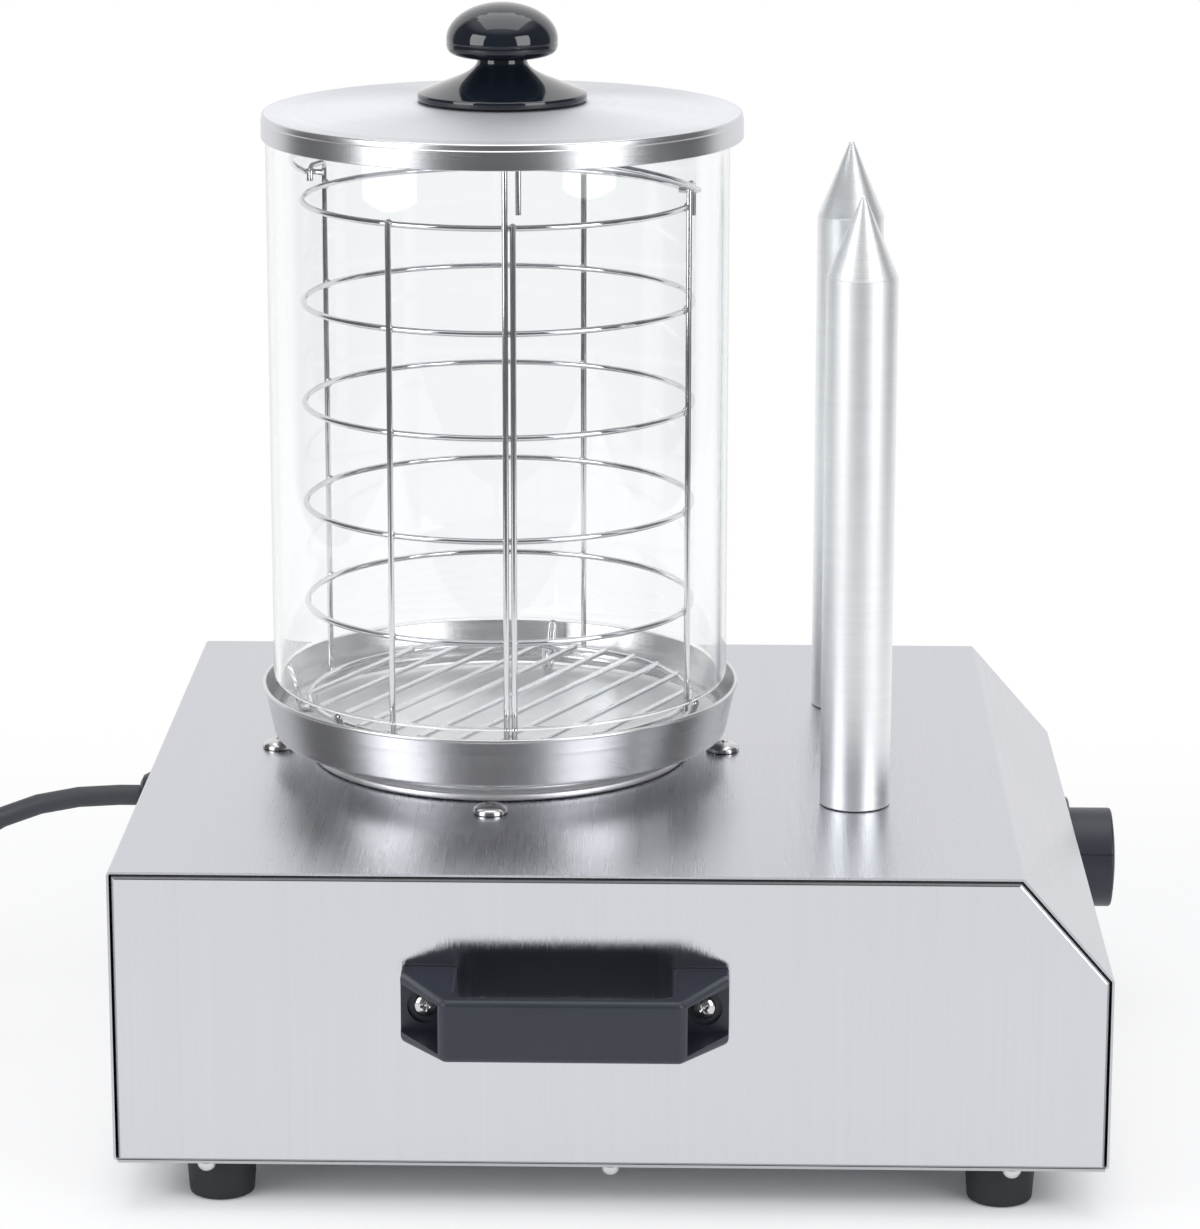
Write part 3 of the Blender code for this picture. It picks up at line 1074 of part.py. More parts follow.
def make_gland():
    """Make the cable gland through the rear and the lock nut inside."""
    spot = (GLAND_SIDE, REAR_Y, GLAND_Z)
    rearward = (-math.pi / 2, 0, 0)
    hex_end = GAP + GLAND_HEX_THICKNESS
    nut_end = hex_end + GLAND_NUT_LENGTH * NUT_STRAIGHT_SHARE
    dome = [(GLAND_MOUTH_RADIUS + (GLAND_NUT_RADIUS - GLAND_MOUTH_RADIUS) * math.cos(turn),
             nut_end + (GLAND_REACH - nut_end) * math.sin(turn))
            for turn in (math.radians(angle) for angle in (90, 60, 30, 0))]
    inside = -(SHEET + GLAND_THREAD_LENGTH)
    profile = [(0, GLAND_REACH), *dome, (GLAND_NUT_RADIUS, hex_end / 2), (GLAND_THREAD_RADIUS, hex_end / 2),
               (GLAND_THREAD_RADIUS, inside), (0, inside)]
    gland = place("cable_gland", to_mesh(turned(profile, 20), "cable_gland", 35), "black_plastic",
                  spot, rearward)
    flange = moved(prism(hexagon(GLAND_FLATS * GLAND_HEX_SHARE), GLAND_HEX_THICKNESS),
                   Matrix.Translation((0, 0, GAP)))
    combine(gland, flange, "UNION", "flange")
    face = -(SHEET + GAP)
    ring = moved(prism(hexagon(LOCK_NUT_FLATS), LOCK_NUT_THICKNESS),
                 Matrix.Translation((0, 0, face - LOCK_NUT_THICKNESS)))
    nut = place("gland_lock_nut", to_mesh(ring, "gland_lock_nut"), "black_plastic", spot, rearward)
    combine(nut, post(GLAND_THREAD_RADIUS + GAP, face - LOCK_NUT_THICKNESS - OVERRUN, face + OVERRUN,
                      segments=24), "DIFFERENCE", "bore")


def smooth_curve(knots, start_way, end_way, step):
    """Return points about a step apart on a smooth curve through the knots, clamped at its ends."""
    knots = np.array([tuple(knot) for knot in knots])
    spans = np.linalg.norm(np.diff(knots, axis=0), axis=1)
    count = len(knots)
    system, right = np.eye(count), np.zeros((count, 3))
    right[0], right[-1] = start_way, end_way
    for index in range(1, count - 1):
        before, after = spans[index - 1], spans[index]
        system[index, index - 1:index + 2] = (1 / before, 2 / before + 2 / after, 1 / after)
        right[index] = 3 * ((knots[index] - knots[index - 1]) / before ** 2
                            + (knots[index + 1] - knots[index]) / after ** 2)
    ways = np.linalg.solve(system, right)
    fine = []
    for index, span in enumerate(spans):
        for t in np.linspace(0, 1, 40, endpoint=False):
            rise = 3 * t ** 2 - 2 * t ** 3
            fine.append(knots[index] * (1 - rise) + knots[index + 1] * rise
                        + ways[index] * span * (t ** 3 - 2 * t ** 2 + t)
                        + ways[index + 1] * span * (t ** 3 - t ** 2))
    fine = np.array([*fine, knots[-1]])
    travel = np.concatenate(([0], np.cumsum(np.linalg.norm(np.diff(fine, axis=0), axis=1))))
    stations = np.linspace(0, travel[-1], round(travel[-1] / step) + 1)
    return [Vector([np.interp(station, travel, fine[:, k]) for k in range(3)]) for station in stations]


def path_length(points):
    """Return the length of a path."""
    return sum((b - a).length for a, b in zip(points, points[1:]))


def coil_path():
    """Return the coil's centre line: in on the table, up a layer, out on top, straight to the plug."""
    swing = COIL_TURNS * math.tau
    middle = swing / 2
    small = COIL_MEAN_RADIUS - COIL_PITCH * COIL_TURNS / 4
    large = small + COIL_PITCH * COIL_TURNS / 2
    centre = Vector((GLAND_SIDE - large + CORD_DRIFT, COIL_CENTRE_Y, 0))
    low = CORD_RADIUS + GAP
    high, plug_height = low + COIL_LAYER, PLUG_RADIUS + GAP
    count = round(COIL_TURNS * COIL_STEPS)
    points = [centre + Vector((large, -2 * CORD_RADIUS, low))]
    for index in range(count + 1):
        turn = swing * index / count
        radius = small + COIL_PITCH * abs(turn - middle) / math.tau
        climb = min(max((turn - middle + math.pi / 2) / math.pi, 0), 1)
        lift = min(max((turn - swing + math.pi / 2) / (math.pi / 2), 0), 1)
        height = low + (high - low) * (3 * climb ** 2 - 2 * climb ** 3)
        height += (plug_height - high) * (3 * lift ** 2 - 2 * lift ** 3)
        points.append(centre + Vector((radius * math.cos(turn), radius * math.sin(turn), height)))
    leave = Vector((-math.sin(swing), math.cos(swing), 0))
    tail = CORD_LENGTH - path_length(cord_path(points[0])) - path_length(points)
    points.append(points[-1] + leave * 2 * CORD_RADIUS)
    points.append(points[-1] + leave * (tail - 2 * CORD_RADIUS))
    return points, leave


def cord_path(coil_start):
    """Return the free stretch's centre line, from the gland down to the start of the coil."""
    straight = Vector((0, 2 * CORD_RADIUS, 0))
    first = Vector((GLAND_SIDE, REAR_Y + GLAND_REACH + GAP, GLAND_Z))
    last = coil_start - Vector((0, GAP, 0))
    knots = [first + straight, *(Vector(knot) for knot in CORD_ROUTE), last - straight]
    return [first, *smooth_curve(knots, (0, 1, 0), (0, 1, 0), CORD_POINT_STEP), last]


def least_gap(points):
    """Return the least clear gap between stretches of one cord more than three diameters apart."""
    fine = []
    for a, b in zip(points, points[1:]):
        fine += [a.lerp(b, part / 4) for part in range(4)]
    places = np.array([tuple(point) for point in fine])
    travel = np.concatenate(([0], np.cumsum(np.linalg.norm(np.diff(places, axis=0), axis=1))))
    apart = np.linalg.norm(places[:, None] - places[None], axis=2)
    apart[np.abs(travel[:, None] - travel[None]) < 6 * CORD_RADIUS] = math.inf
    return apart.min() - 2 * CORD_RADIUS


def make_cord():
    """Lay the mains cord from the gland to its coil and the plug beside it."""
    coil, leave = coil_path()
    free = cord_path(coil[0])
    for name, points, sides in (("cord", free, 2), ("cord_coil", coil, 1)):
        sweep = tube(name, points, CORD_RADIUS, resolution=sides)
        sweep.data.materials.append(finish("cord_rubber"))
    print(f"cord length {path_length(free) + path_length(coil):.4f} m, "
          f"coil's least gap to itself {least_gap(coil) * 1000:.2f} mm")
    body_foot = PLUG_BOOT_LENGTH
    body_end = body_foot + PLUG_BODY_LENGTH
    waist = (body_foot + body_end) / 2
    profile = [
        (0, 0), (PLUG_BOOT_TIP_RADIUS, 0), (PLUG_BOOT_RADIUS, body_foot),
        (PLUG_RADIUS - PLUG_WAIST, body_foot + PLUG_EDGE), (PLUG_RADIUS - PLUG_WAIST, waist),
        (PLUG_RADIUS, waist + PLUG_EDGE), (PLUG_RADIUS, body_end - PLUG_EDGE),
        (PLUG_RADIUS - PLUG_EDGE, body_end), (0, body_end),
    ]
    turn = leave.to_track_quat("Z", "Y").to_euler()
    plug = place("plug", to_mesh(turned(profile, 18), "plug", 35), "black_rubber",
                 coil[-1] + leave * GAP, turn)
    pins = [post(PLUG_PIN_RADIUS, body_end - PLUG_EDGE, body_end + PLUG_PIN_LENGTH,
                 side * PLUG_PIN_SPACING / 2, 0, 8) for side in (-1, 1)]
    combine(plug, joined(pins), "UNION", "pins")


def main():
    """Build the hot dog maker."""
    clear_scene()
    make_wrap_cover()
    make_side_panel("left_side_panel", -1)
    make_side_panel("right_side_panel", 1)
    make_base()
    make_feet()
    make_handles()
    make_pan()
    make_pan_heater()
    make_glass()
    make_glass_rests()
    make_basket()
    make_bail()
    make_lid()
    make_spikes()
    make_thermostat()
    make_switch_and_lamp()
    make_terminal_block()
    make_gland()
    make_cord()


main()
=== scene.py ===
"""Looks of a countertop hot dog maker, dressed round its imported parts.

The frame is in metres with +Z up. The controls face -Y, the mains cable leaves at +Y,
and the camera stands off at -X, where the left side panel and its handle are.
"""
import logging
import math
from dataclasses import dataclass, field
from enum import Enum
from typing import Iterable, Sequence

import bmesh
import bpy
import numpy as np
from mathutils import Matrix, Vector


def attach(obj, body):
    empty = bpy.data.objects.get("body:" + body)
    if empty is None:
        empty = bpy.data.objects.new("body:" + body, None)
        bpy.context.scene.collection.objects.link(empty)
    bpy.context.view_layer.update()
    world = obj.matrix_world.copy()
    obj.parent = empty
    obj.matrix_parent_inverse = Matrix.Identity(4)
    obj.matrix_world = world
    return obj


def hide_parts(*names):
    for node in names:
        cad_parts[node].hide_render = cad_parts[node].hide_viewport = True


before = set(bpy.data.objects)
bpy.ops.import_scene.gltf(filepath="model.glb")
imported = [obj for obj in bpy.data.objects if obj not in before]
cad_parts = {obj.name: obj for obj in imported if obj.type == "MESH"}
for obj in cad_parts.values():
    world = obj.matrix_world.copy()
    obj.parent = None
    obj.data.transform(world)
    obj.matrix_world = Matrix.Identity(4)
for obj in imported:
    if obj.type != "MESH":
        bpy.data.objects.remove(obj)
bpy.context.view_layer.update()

LOG = logging.getLogger("hot_dog_maker")
WELD = 0.000001
TINY = 0.000001
SUPPORT = 0.0004
SHARP_ABOVE = 32.0

# Sizes and places that several sub-assemblies share
GAP = 0.0003
HALF_WIDTH = 0.18675
FRONT = -0.2056
TOP = 0.1465
STEAMER_Y = 0.0521
LID_Y = 0.0501
SPIKE_SIDE = 0.08035
SPIKE_ROW = -0.1027

Point = Sequence[float]
Colour = tuple[float, float, float]
WHITE = (1.0, 1.0, 1.0, 1.0)


class Body(Enum):
    """The moving bodies that a piece can ride on."""

    HOUSING = "housing"
    GLASS = "glass"
    BASKET = "basket"
    BAIL = "bail"
    LID = "lid"
    DIAL = "thermostat_knob_body"


class Grain(Enum):
    """The way that a sheet is brushed, as the share of the noise kept along X, Y and Z."""

    ALONG_X = (0.006, 1.0, 1.0)
    ALONG_Z = (1.0, 1.0, 0.006)


def added(name: str, data: bpy.types.ID) -> bpy.types.Object:
    """Put a new object in the scene and return it.

    Args:
        name: The object's name.
        data: The mesh, curve, camera or light that it holds.

    Returns:
        The object.
    """
    made = bpy.data.objects.new(name, data)
    bpy.context.scene.collection.objects.link(made)
    return made


def evaluated(source: bpy.types.Object) -> bpy.types.Mesh:
    """Return a plain mesh of an object with its modifiers applied."""
    view = bpy.context.evaluated_depsgraph_get()
    return bpy.data.meshes.new_from_object(source.evaluated_get(view), depsgraph=view)


def extruded(points: Iterable[Point], way: Point) -> bmesh.types.BMesh:
    """Make a face through the points and raise it one way.

    Args:
        points: The outline.
        way: How far and which way it is raised.

    Returns:
        The form, its faces not yet turned outwards.
    """
    form = bmesh.new()
    face = form.faces.new([form.verts.new(point) for point in points])
    raised = bmesh.ops.extrude_face_region(form, geom=[face])
    top = [item for item in raised["geom"] if isinstance(item, bmesh.types.BMVert)]
    bmesh.ops.translate(form, verts=top, vec=way)
    return form


def numbered(name: str, count: int, first: int = 1) -> list[str]:
    """Return node names with their numbers, such as foot_1 to foot_4."""
    return [f"{name}_{k}" for k in range(first, first + count)]


class Signal:
    """One output socket of a node tree, with arithmetic that adds its Math nodes."""

    def __init__(self, graph: "Graph", socket: bpy.types.NodeSocket) -> None:
        """Wrap a socket.

        Args:
            graph: The tree that the socket belongs to.
            socket: The output socket.
        """
        self.graph = graph
        self.socket = socket

    def maths(self, operation: str, *others: "Signal | float", first: bool = True) -> "Signal":
        """Add a Math node.

        Args:
            operation: The node's operation.
            others: The other operands.
            first: Whether this signal is the first operand.

        Returns:
            The node's result.
        """
        operands = [self, *others] if first else [*others, self]
        node = self.graph.node("ShaderNodeMath", {"operation": operation}, dict(enumerate(operands)))
        return Signal(self.graph, node.outputs[0])

    def __add__(self, other: "Signal | float") -> "Signal":
        """Return the sum."""
        return self.maths("ADD", other)

    __radd__ = __add__

    def __sub__(self, other: "Signal | float") -> "Signal":
        """Return the difference."""
        return self.maths("SUBTRACT", other)

    def __rsub__(self, other: "Signal | float") -> "Signal":
        """Return the difference with this signal taken away."""
        return self.maths("SUBTRACT", other, first=False)

    def __mul__(self, other: "Signal | float") -> "Signal":
        """Return the product."""
        return self.maths("MULTIPLY", other)

    __rmul__ = __mul__

    def __truediv__(self, other: "Signal | float") -> "Signal":
        """Return the quotient."""
        return self.maths("DIVIDE", other)

    def size(self) -> "Signal":
        """Return the value without its sign."""
        return self.maths("ABSOLUTE")

    def root(self) -> "Signal":
        """Return the square root."""
        return self.maths("SQRT")

    def above(self, limit: "Signal | float") -> "Signal":
        """Return 1 where the value is over the limit."""
        return self.maths("GREATER_THAN", limit)

    def below(self, limit: "Signal | float") -> "Signal":
        """Return 1 where the value is under the limit."""
        return self.maths("LESS_THAN", limit)

    def band(self, low: float, high: float) -> "Signal":
        """Return a smooth rise from 0 at low to 1 at high.

        Args:
            low: The value that gives 0.
            high: The value that gives 1.

        Returns:
            The eased share.
        """
        node = self.graph.node("ShaderNodeMapRange", {"interpolation_type": "SMOOTHSTEP"},
                               {"Value": self, "From Min": low, "From Max": high})
        return Signal(self.graph, node.outputs[0])


class Graph:
    """Adds nodes to one shader or geometry tree from Python calls."""

    def __init__(self, tree: bpy.types.NodeTree) -> None:
        """Work on a tree.

        Args:
            tree: The tree that the nodes go into.
        """
        self.tree = tree

    def node(self, kind: str, settings: dict | None = None, inputs: dict | None = None) -> bpy.types.Node:
        """Add a node, set its options first and then its sockets.

        Args:
            kind: The node's type.
            settings: Options such as a Math node's operation.
            inputs: Values or links of its sockets, by name or number.

        Returns:
            The new node.
        """
        made = self.tree.nodes.new(kind)
        for option, value in (settings or {}).items():
            setattr(made, option, value)
        for key, value in (inputs or {}).items():
            socket = made.inputs[key]
            if isinstance(value, Signal):
                self.tree.links.new(value.socket, socket)
            elif isinstance(value, bpy.types.NodeSocket):
                self.tree.links.new(value, socket)
            else:
                socket.default_value = value
        return made

    def signal(self, kind: str, settings: dict | None = None, inputs: dict | None = None,
               output: int | str = 0) -> Signal:
        """Add a node and return one of its outputs.

        Args:
            kind: The node's type.
            settings: Its options.
            inputs: Its sockets' values or links.
            output: The output wanted.

        Returns:
            The output as a signal.
        """
        return Signal(self, self.node(kind, settings, inputs).outputs[output])

    def split(self, vector: Signal) -> tuple[Signal, ...]:
        """Return a vector's parts along X, Y and Z."""
        parts = self.node("ShaderNodeSeparateXYZ", None, {"Vector": vector})
        return tuple(Signal(self, part) for part in parts.outputs)

    def joined(self, **parts: "Signal | float") -> Signal:
        """Return a vector of the parts that are named X, Y and Z."""
        return self.signal("ShaderNodeCombineXYZ", None, parts)


class GeometryTree(Graph):
    """A Geometry Nodes tree with named sizes, which ends in Realize Instances and Set Material."""

    def __init__(self, name: str, sizes: dict[str, float]) -> None:
        """Make the tree and its interface.

        Args:
            name: The tree's name.
            sizes: The named inputs and their values, whole numbers for counts.
        """
        tree = bpy.data.node_groups.new(name, "GeometryNodeTree")
        tree.is_modifier = True
        tree.interface.new_socket("Geometry", in_out="INPUT", socket_type="NodeSocketGeometry")
        tree.interface.new_socket("Geometry", in_out="OUTPUT", socket_type="NodeSocketGeometry")
        self.sizes = sizes
        self.keys: dict[str, str] = {}
        for label, value in sizes.items():
            kind = "NodeSocketInt" if isinstance(value, int) else "NodeSocketFloat"
            made = tree.interface.new_socket(label, in_out="INPUT", socket_type=kind)
            self.keys[label] = made.identifier
        super().__init__(tree)
        self.source = self.node("NodeGroupInput")

    def size(self, label: str) -> Signal:
        """Return one of the named inputs."""
        return Signal(self, self.source.outputs[label])

    def tube(self, curve: Signal, sides: "Signal | int", caps: bool = True) -> Signal:
        """Sweep a round section of the tree's wire radius along curves.

        Args:
            curve: The curves.
            sides: The points round the section.
            caps: Whether the ends are closed.

        Returns:
            The swept mesh.
        """
        section = self.signal("GeometryNodeCurvePrimitiveCircle", None, {
            "Resolution": sides, "Radius": self.size("Wire radius")})
        return self.signal("GeometryNodeCurveToMesh", None, {
            "Curve": curve, "Profile Curve": section, "Fill Caps": caps})

    def close(self, geometry: Signal, material: bpy.types.Material) -> None:
        """End the tree.

        Args:
            geometry: What the tree has made.
            material: The material that it wears.
        """
        real = self.signal("GeometryNodeRealizeInstances", None, {"Geometry": geometry})
        smooth = self.signal("GeometryNodeSetShadeSmooth", None, {"Geometry": real, "Shade Smooth": True})
        dressed = self.signal("GeometryNodeSetMaterial", None, {"Geometry": smooth, "Material": material})
        self.node("NodeGroupOutput", None, {0: dressed})

    def grow(self, base: bpy.types.Mesh, name: str) -> bpy.types.Mesh:
        """Run the tree on a mesh and return what it makes as a plain mesh.

        Args:
            base: The mesh that the tree starts from.
            name: The new mesh's name.

        Returns:
            The evaluated mesh.
        """
        holder = added(f"{name}_source", base)
        modifier = holder.modifiers.new(name, "NODES")
        modifier.node_group = self.tree
        for label, value in self.sizes.items():
            modifier[self.keys[label]] = value
        mesh = evaluated(holder)
        holder.modifiers.remove(modifier)
        bpy.data.objects.remove(holder, do_unlink=True)
        mesh.name = name
        return mesh


def polyline(name: str, lines: Iterable[Sequence[Point]], closed: bool = False) -> bpy.types.Mesh:
    """Make a mesh of edges along several lines of points.

    Args:
        name: The mesh's name.
        lines: The lines.
        closed: Whether each line returns to its start.

    Returns:
        The mesh.
    """
    verts: list[Point] = []
    edges: list[tuple[int, int]] = []
    for line in lines:
        first = len(verts)
        verts.extend(tuple(point) for point in line)
        edges.extend((k, k + 1) for k in range(first, len(verts) - 1))
        if closed:
            edges.append((len(verts) - 1, first))
    mesh = bpy.data.meshes.new(name)
    mesh.from_pydata(verts, edges, [])
    return mesh


def to_mesh(form: bmesh.types.BMesh, name: str, sharp_above: float = SHARP_ABOVE) -> bpy.types.Mesh:
    """Turn a bmesh into a mesh, smooth but for its edges over an angle.

    Args:
        form: The bmesh, which is freed.
        name: The mesh's name.
        sharp_above: The angle in degrees.

    Returns:
        The mesh.
    """
    mesh = bpy.data.meshes.new(name)
    form.to_mesh(mesh)
    form.free()
    mesh.shade_smooth()
    mesh.set_sharp_from_angle(angle=math.radians(sharp_above))
    return mesh


def supported(profile: Sequence[Point]) -> list[tuple[float, float]]:
    """Add a point near both ends of every long run, which keeps its smooth shading flat.

    Args:
        profile: The outline.

    Returns:
        The outline with its support points.
    """
    out = [tuple(profile[0])]
    for start, stop in zip(profile, profile[1:]):
        run = math.dist(start, stop)
        if run > 5 * SUPPORT:
            for share in (SUPPORT / run, 1 - SUPPORT / run):
                out.append(tuple(a + (b - a) * share for a, b in zip(start, stop)))
        out.append(tuple(stop))
    return out


def lathe(profile: Sequence[Point], segments: int, loop: bool = False) -> bmesh.types.BMesh:
    """Revolve an outline of (radius, height) points about Z.

    Args:
        profile: The outline.
        segments: The number of steps round.
        loop: Whether the outline is closed by itself, clear of the axis.

    Returns:
        The closed form.
    """
    form = bmesh.new()
    outline = supported([*profile, profile[0]])[:-1] if loop else supported(profile)
    verts = [form.verts.new((radius, 0, height)) for radius, height in outline]
    pairs = list(zip(verts, verts[1:]))
    if loop:
        pairs.append((verts[-1], verts[0]))
    edges = [form.edges.new(pair) for pair in pairs]
    bmesh.ops.spin(form, geom=verts + edges, cent=(0, 0, 0), axis=(0, 0, 1), dvec=(0, 0, 0),
                   angle=math.tau, steps=segments, use_merge=True, use_duplicate=False)
    bmesh.ops.remove_doubles(form, verts=form.verts, dist=WELD)
    bmesh.ops.recalc_face_normals(form, faces=form.faces)
    return form


def arc(centre: Point, radius: float, start: float, stop: float, steps: int) -> list[tuple[float, float]]:
    """Return points on an arc, its angles in degrees.

    Args:
        centre: The arc's centre.
        radius: Its radius.
        start: The first angle.
        stop: The last angle.
        steps: The number of steps.

    Returns:
        The points from start to stop.
    """
    turns = [math.radians(start + (stop - start) * k / steps) for k in range(steps + 1)]
    return [(centre[0] + radius * math.cos(turn), centre[1] + radius * math.sin(turn)) for turn in turns]


def softened(outline: Sequence[Point], radius: float, steps: int = 3,
             keep: Iterable[int] = ()) -> list[tuple[float, float]]:
    """Round the corners of an open outline.

    Args:
        outline: The (radius, height) points.
        radius: The fillet's radius.
        steps: The steps round each corner.
        keep: The points that stay as they are.

    Returns:
        The new outline.
    """
    points = [Vector((*point, 0)) for point in outline]
    kept = set(keep)
    out = [points[0]]
    for index in range(1, len(points) - 1):
        before, corner, after = points[index - 1:index + 2]
        back, onward = (before - corner), (after - corner)
        half = back.angle(onward) / 2
        if index in kept or half > math.radians(85):
            out.append(corner)
            continue
        run = min(radius / math.tan(half), back.length * 0.45, onward.length * 0.45)
        start, stop = corner + back.normalized() * run, corner + onward.normalized() * run
        for k in range(steps + 1):
            share = k / steps
            out.append(start * (1 - share) ** 2 + corner * 2 * share * (1 - share) + stop * share ** 2)
    out.append(points[-1])
    return [(point.x, point.y) for point in out]


def rounded(points: Sequence[Point], bend: float, steps: int,
            tighter: dict[int, float] | None = None) -> list[Vector]:
    """Return the path through the points with each inner corner turned by an arc.

    Args:
        points: The corners.
        bend: The radius of the bends.
        steps: The steps round each bend.
        tighter: Other radii, by the corner's number.

    Returns:
        The path.
    """
    corners = [Vector(point) for point in points]
    path = [corners[0]]
    for index, (before, corner, after) in enumerate(zip(corners, corners[1:], corners[2:])):
        radius = (tighter or {}).get(index, bend)
        back, onward = (before - corner).normalized(), (after - corner).normalized()
        half = back.angle(onward) / 2
        centre = corner + (back + onward).normalized() * radius / math.sin(half)
        start = corner + back * radius / math.tan(half) - centre
        stop = corner + onward * radius / math.tan(half) - centre
        axis = start.cross(stop).normalized()
        for step in range(steps + 1):
            path.append(centre + Matrix.Rotation(start.angle(stop) * step / steps, 3, axis) @ start)
    path.append(corners[-1])
    return path


def moved(form: bmesh.types.BMesh, matrix: Matrix) -> bmesh.types.BMesh:
    """Carry a bmesh through a matrix and return it."""
    bmesh.ops.transform(form, matrix=matrix, verts=form.verts)
    return form


def gathered(forms: Iterable[bmesh.types.BMesh]) -> bmesh.types.BMesh:
    """Put several bmeshes into one and return it.

    Args:
        forms: The forms.

    Returns:
        One form with all of them.
    """
    whole = bmesh.new()
    for form in forms:
        part = bpy.data.meshes.new("part")
        form.to_mesh(part)
        form.free()
        whole.from_mesh(part)
        bpy.data.meshes.remove(part)
    return whole


def around(radius: float, angle: float, height: float, centre_y: float) -> Vector:
    """Return a point about the steamer's axis.

    Args:
        radius: The distance from the axis.
        angle: The angle in degrees, 0 at the front and 90 at +X.
        height: The height.
        centre_y: The axis's place along Y.

    Returns:
        The point.
    """
    turn = math.radians(angle)
    return Vector((radius * math.sin(turn), centre_y - radius * math.cos(turn), height))


def show(name: str, mesh: bpy.types.Mesh, finish: "Finish", stands_for: Sequence[str] = (),
         body: Body = Body.HOUSING) -> bpy.types.Object:
    """Put a finished mesh in the scene as one piece.

    Args:
        name: The piece's name.
        mesh: Its mesh, in the row frame.
        finish: What it is made of.
        stands_for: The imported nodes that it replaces.
        body: The body that it rides on.

    Returns:
        The piece.
    """
    made = added(name, mesh)
    if not mesh.materials:
        mesh.materials.append(finish.material())
    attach(made, body.value)
    if stands_for:
        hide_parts(*stands_for)
    LOG.info("%s: %d faces on %s", name, len(mesh.polygons), body.value)
    return made


def dress(finish: "Finish", *nodes: str) -> None:
    """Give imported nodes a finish.

    Args:
        finish: The finish.
        nodes: The nodes' names.
    """
    for name in nodes:
        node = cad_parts[name]
        for held in node.material_slots:
            held.material = finish.material()
        LOG.info("%s: %s", name, finish.label)


class Skin(Graph):
    """A material's tree with its Principled shader, and what the finishes paint it with."""

    def __init__(self, tree: bpy.types.NodeTree, finish: "Finish") -> None:
        """Add the shader.

        Args:
            tree: The material's tree.
            finish: The finish that gives its plain values.
        """
        super().__init__(tree)
        self.colour = finish.colour
        self.shader = self.node("ShaderNodeBsdfPrincipled", None, {
            "Base Color": (*finish.colour, 1.0), "Roughness": finish.roughness,
            "Metallic": finish.metallic})

    def surface(self) -> Signal:
        """Return the shader's surface."""
        return Signal(self, self.shader.outputs[0])

    def feed(self, **values: Signal | float) -> None:
        """Link or set the shader's sockets, each named with _ for a space.

        Args:
            values: The values by the socket's name, with _ for a space.
        """
        for name, value in values.items():
            socket = self.shader.inputs[name.replace("_", " ")]
            if isinstance(value, Signal):
                self.tree.links.new(value.socket, socket)
            else:
                socket.default_value = value

    def place(self, offset: Point = (0, 0, 0), scale: Point = (1, 1, 1)) -> Signal:
        """Return Object coordinates, shifted and then scaled.

        Args:
            offset: The point that becomes the origin.
            scale: The scale along each axis.

        Returns:
            The coordinates.
        """
        coords = self.signal("ShaderNodeTexCoord", output="Object")
        shift = tuple(-a * b for a, b in zip(offset, scale))
        return self.signal("ShaderNodeMapping", None, {
            "Vector": coords, "Location": shift, "Scale": tuple(scale)})

    def noise(self, vector: Signal, scale: float, detail: float = 2.0, roughness: float = 0.5) -> Signal:
        """Return noise about zero.

        Args:
            vector: The coordinates.
            scale: The noise's scale.
            detail: Its octaves.
            roughness: How strong the fine octaves are.

        Returns:
            The noise, from about -0.5 to 0.5.
        """
        value = self.signal("ShaderNodeTexNoise", None, {
            "Vector": vector, "Scale": scale, "Detail": detail, "Roughness": roughness})
        return value - 0.5

    def tint(self, tone: Signal) -> None:
        """Let the colour follow a tone about 1."""
        self.feed(Base_Color=self.signal("ShaderNodeVectorMath", {"operation": "SCALE"}, {
            0: self.colour, "Scale": tone}))

    def raise_bump(self, height: Signal, strength: float, distance: float) -> None:
        """Raise a height as bump.

        Args:
            height: The height, about 1 unit deep.
            strength: The bump's strength.
            distance: The depth of a unit, in metres.
        """
        self.feed(Normal=self.signal("ShaderNodeBump", None, {
            "Height": height, "Strength": strength, "Distance": distance}, "Normal"))


@dataclass(frozen=True)
class Finish:
    """A material that is much the same all over: its slot in the record, colour and gloss."""

    label: str
    slot: str
    colour: Colour
    roughness: float
    metallic: float = 0.0

    def material(self) -> bpy.types.Material:
        """Return the material, built on its first use.

        Returns:
            The material.
        """
        if self.label in bpy.data.materials:
            return bpy.data.materials[self.label]
        made = bpy.data.materials.new(self.label)
        made.use_nodes = True
        made.node_tree.nodes.clear()
        made.diffuse_color = (*self.colour, 1.0)
        skin = Skin(made.node_tree, self)
        skin.node("ShaderNodeOutputMaterial", None, {"Surface": self.paint(skin)})
        return made

    def paint(self, skin: Skin) -> Signal:
        """Add the finish's own detail and return the surface."""
        return skin.surface()


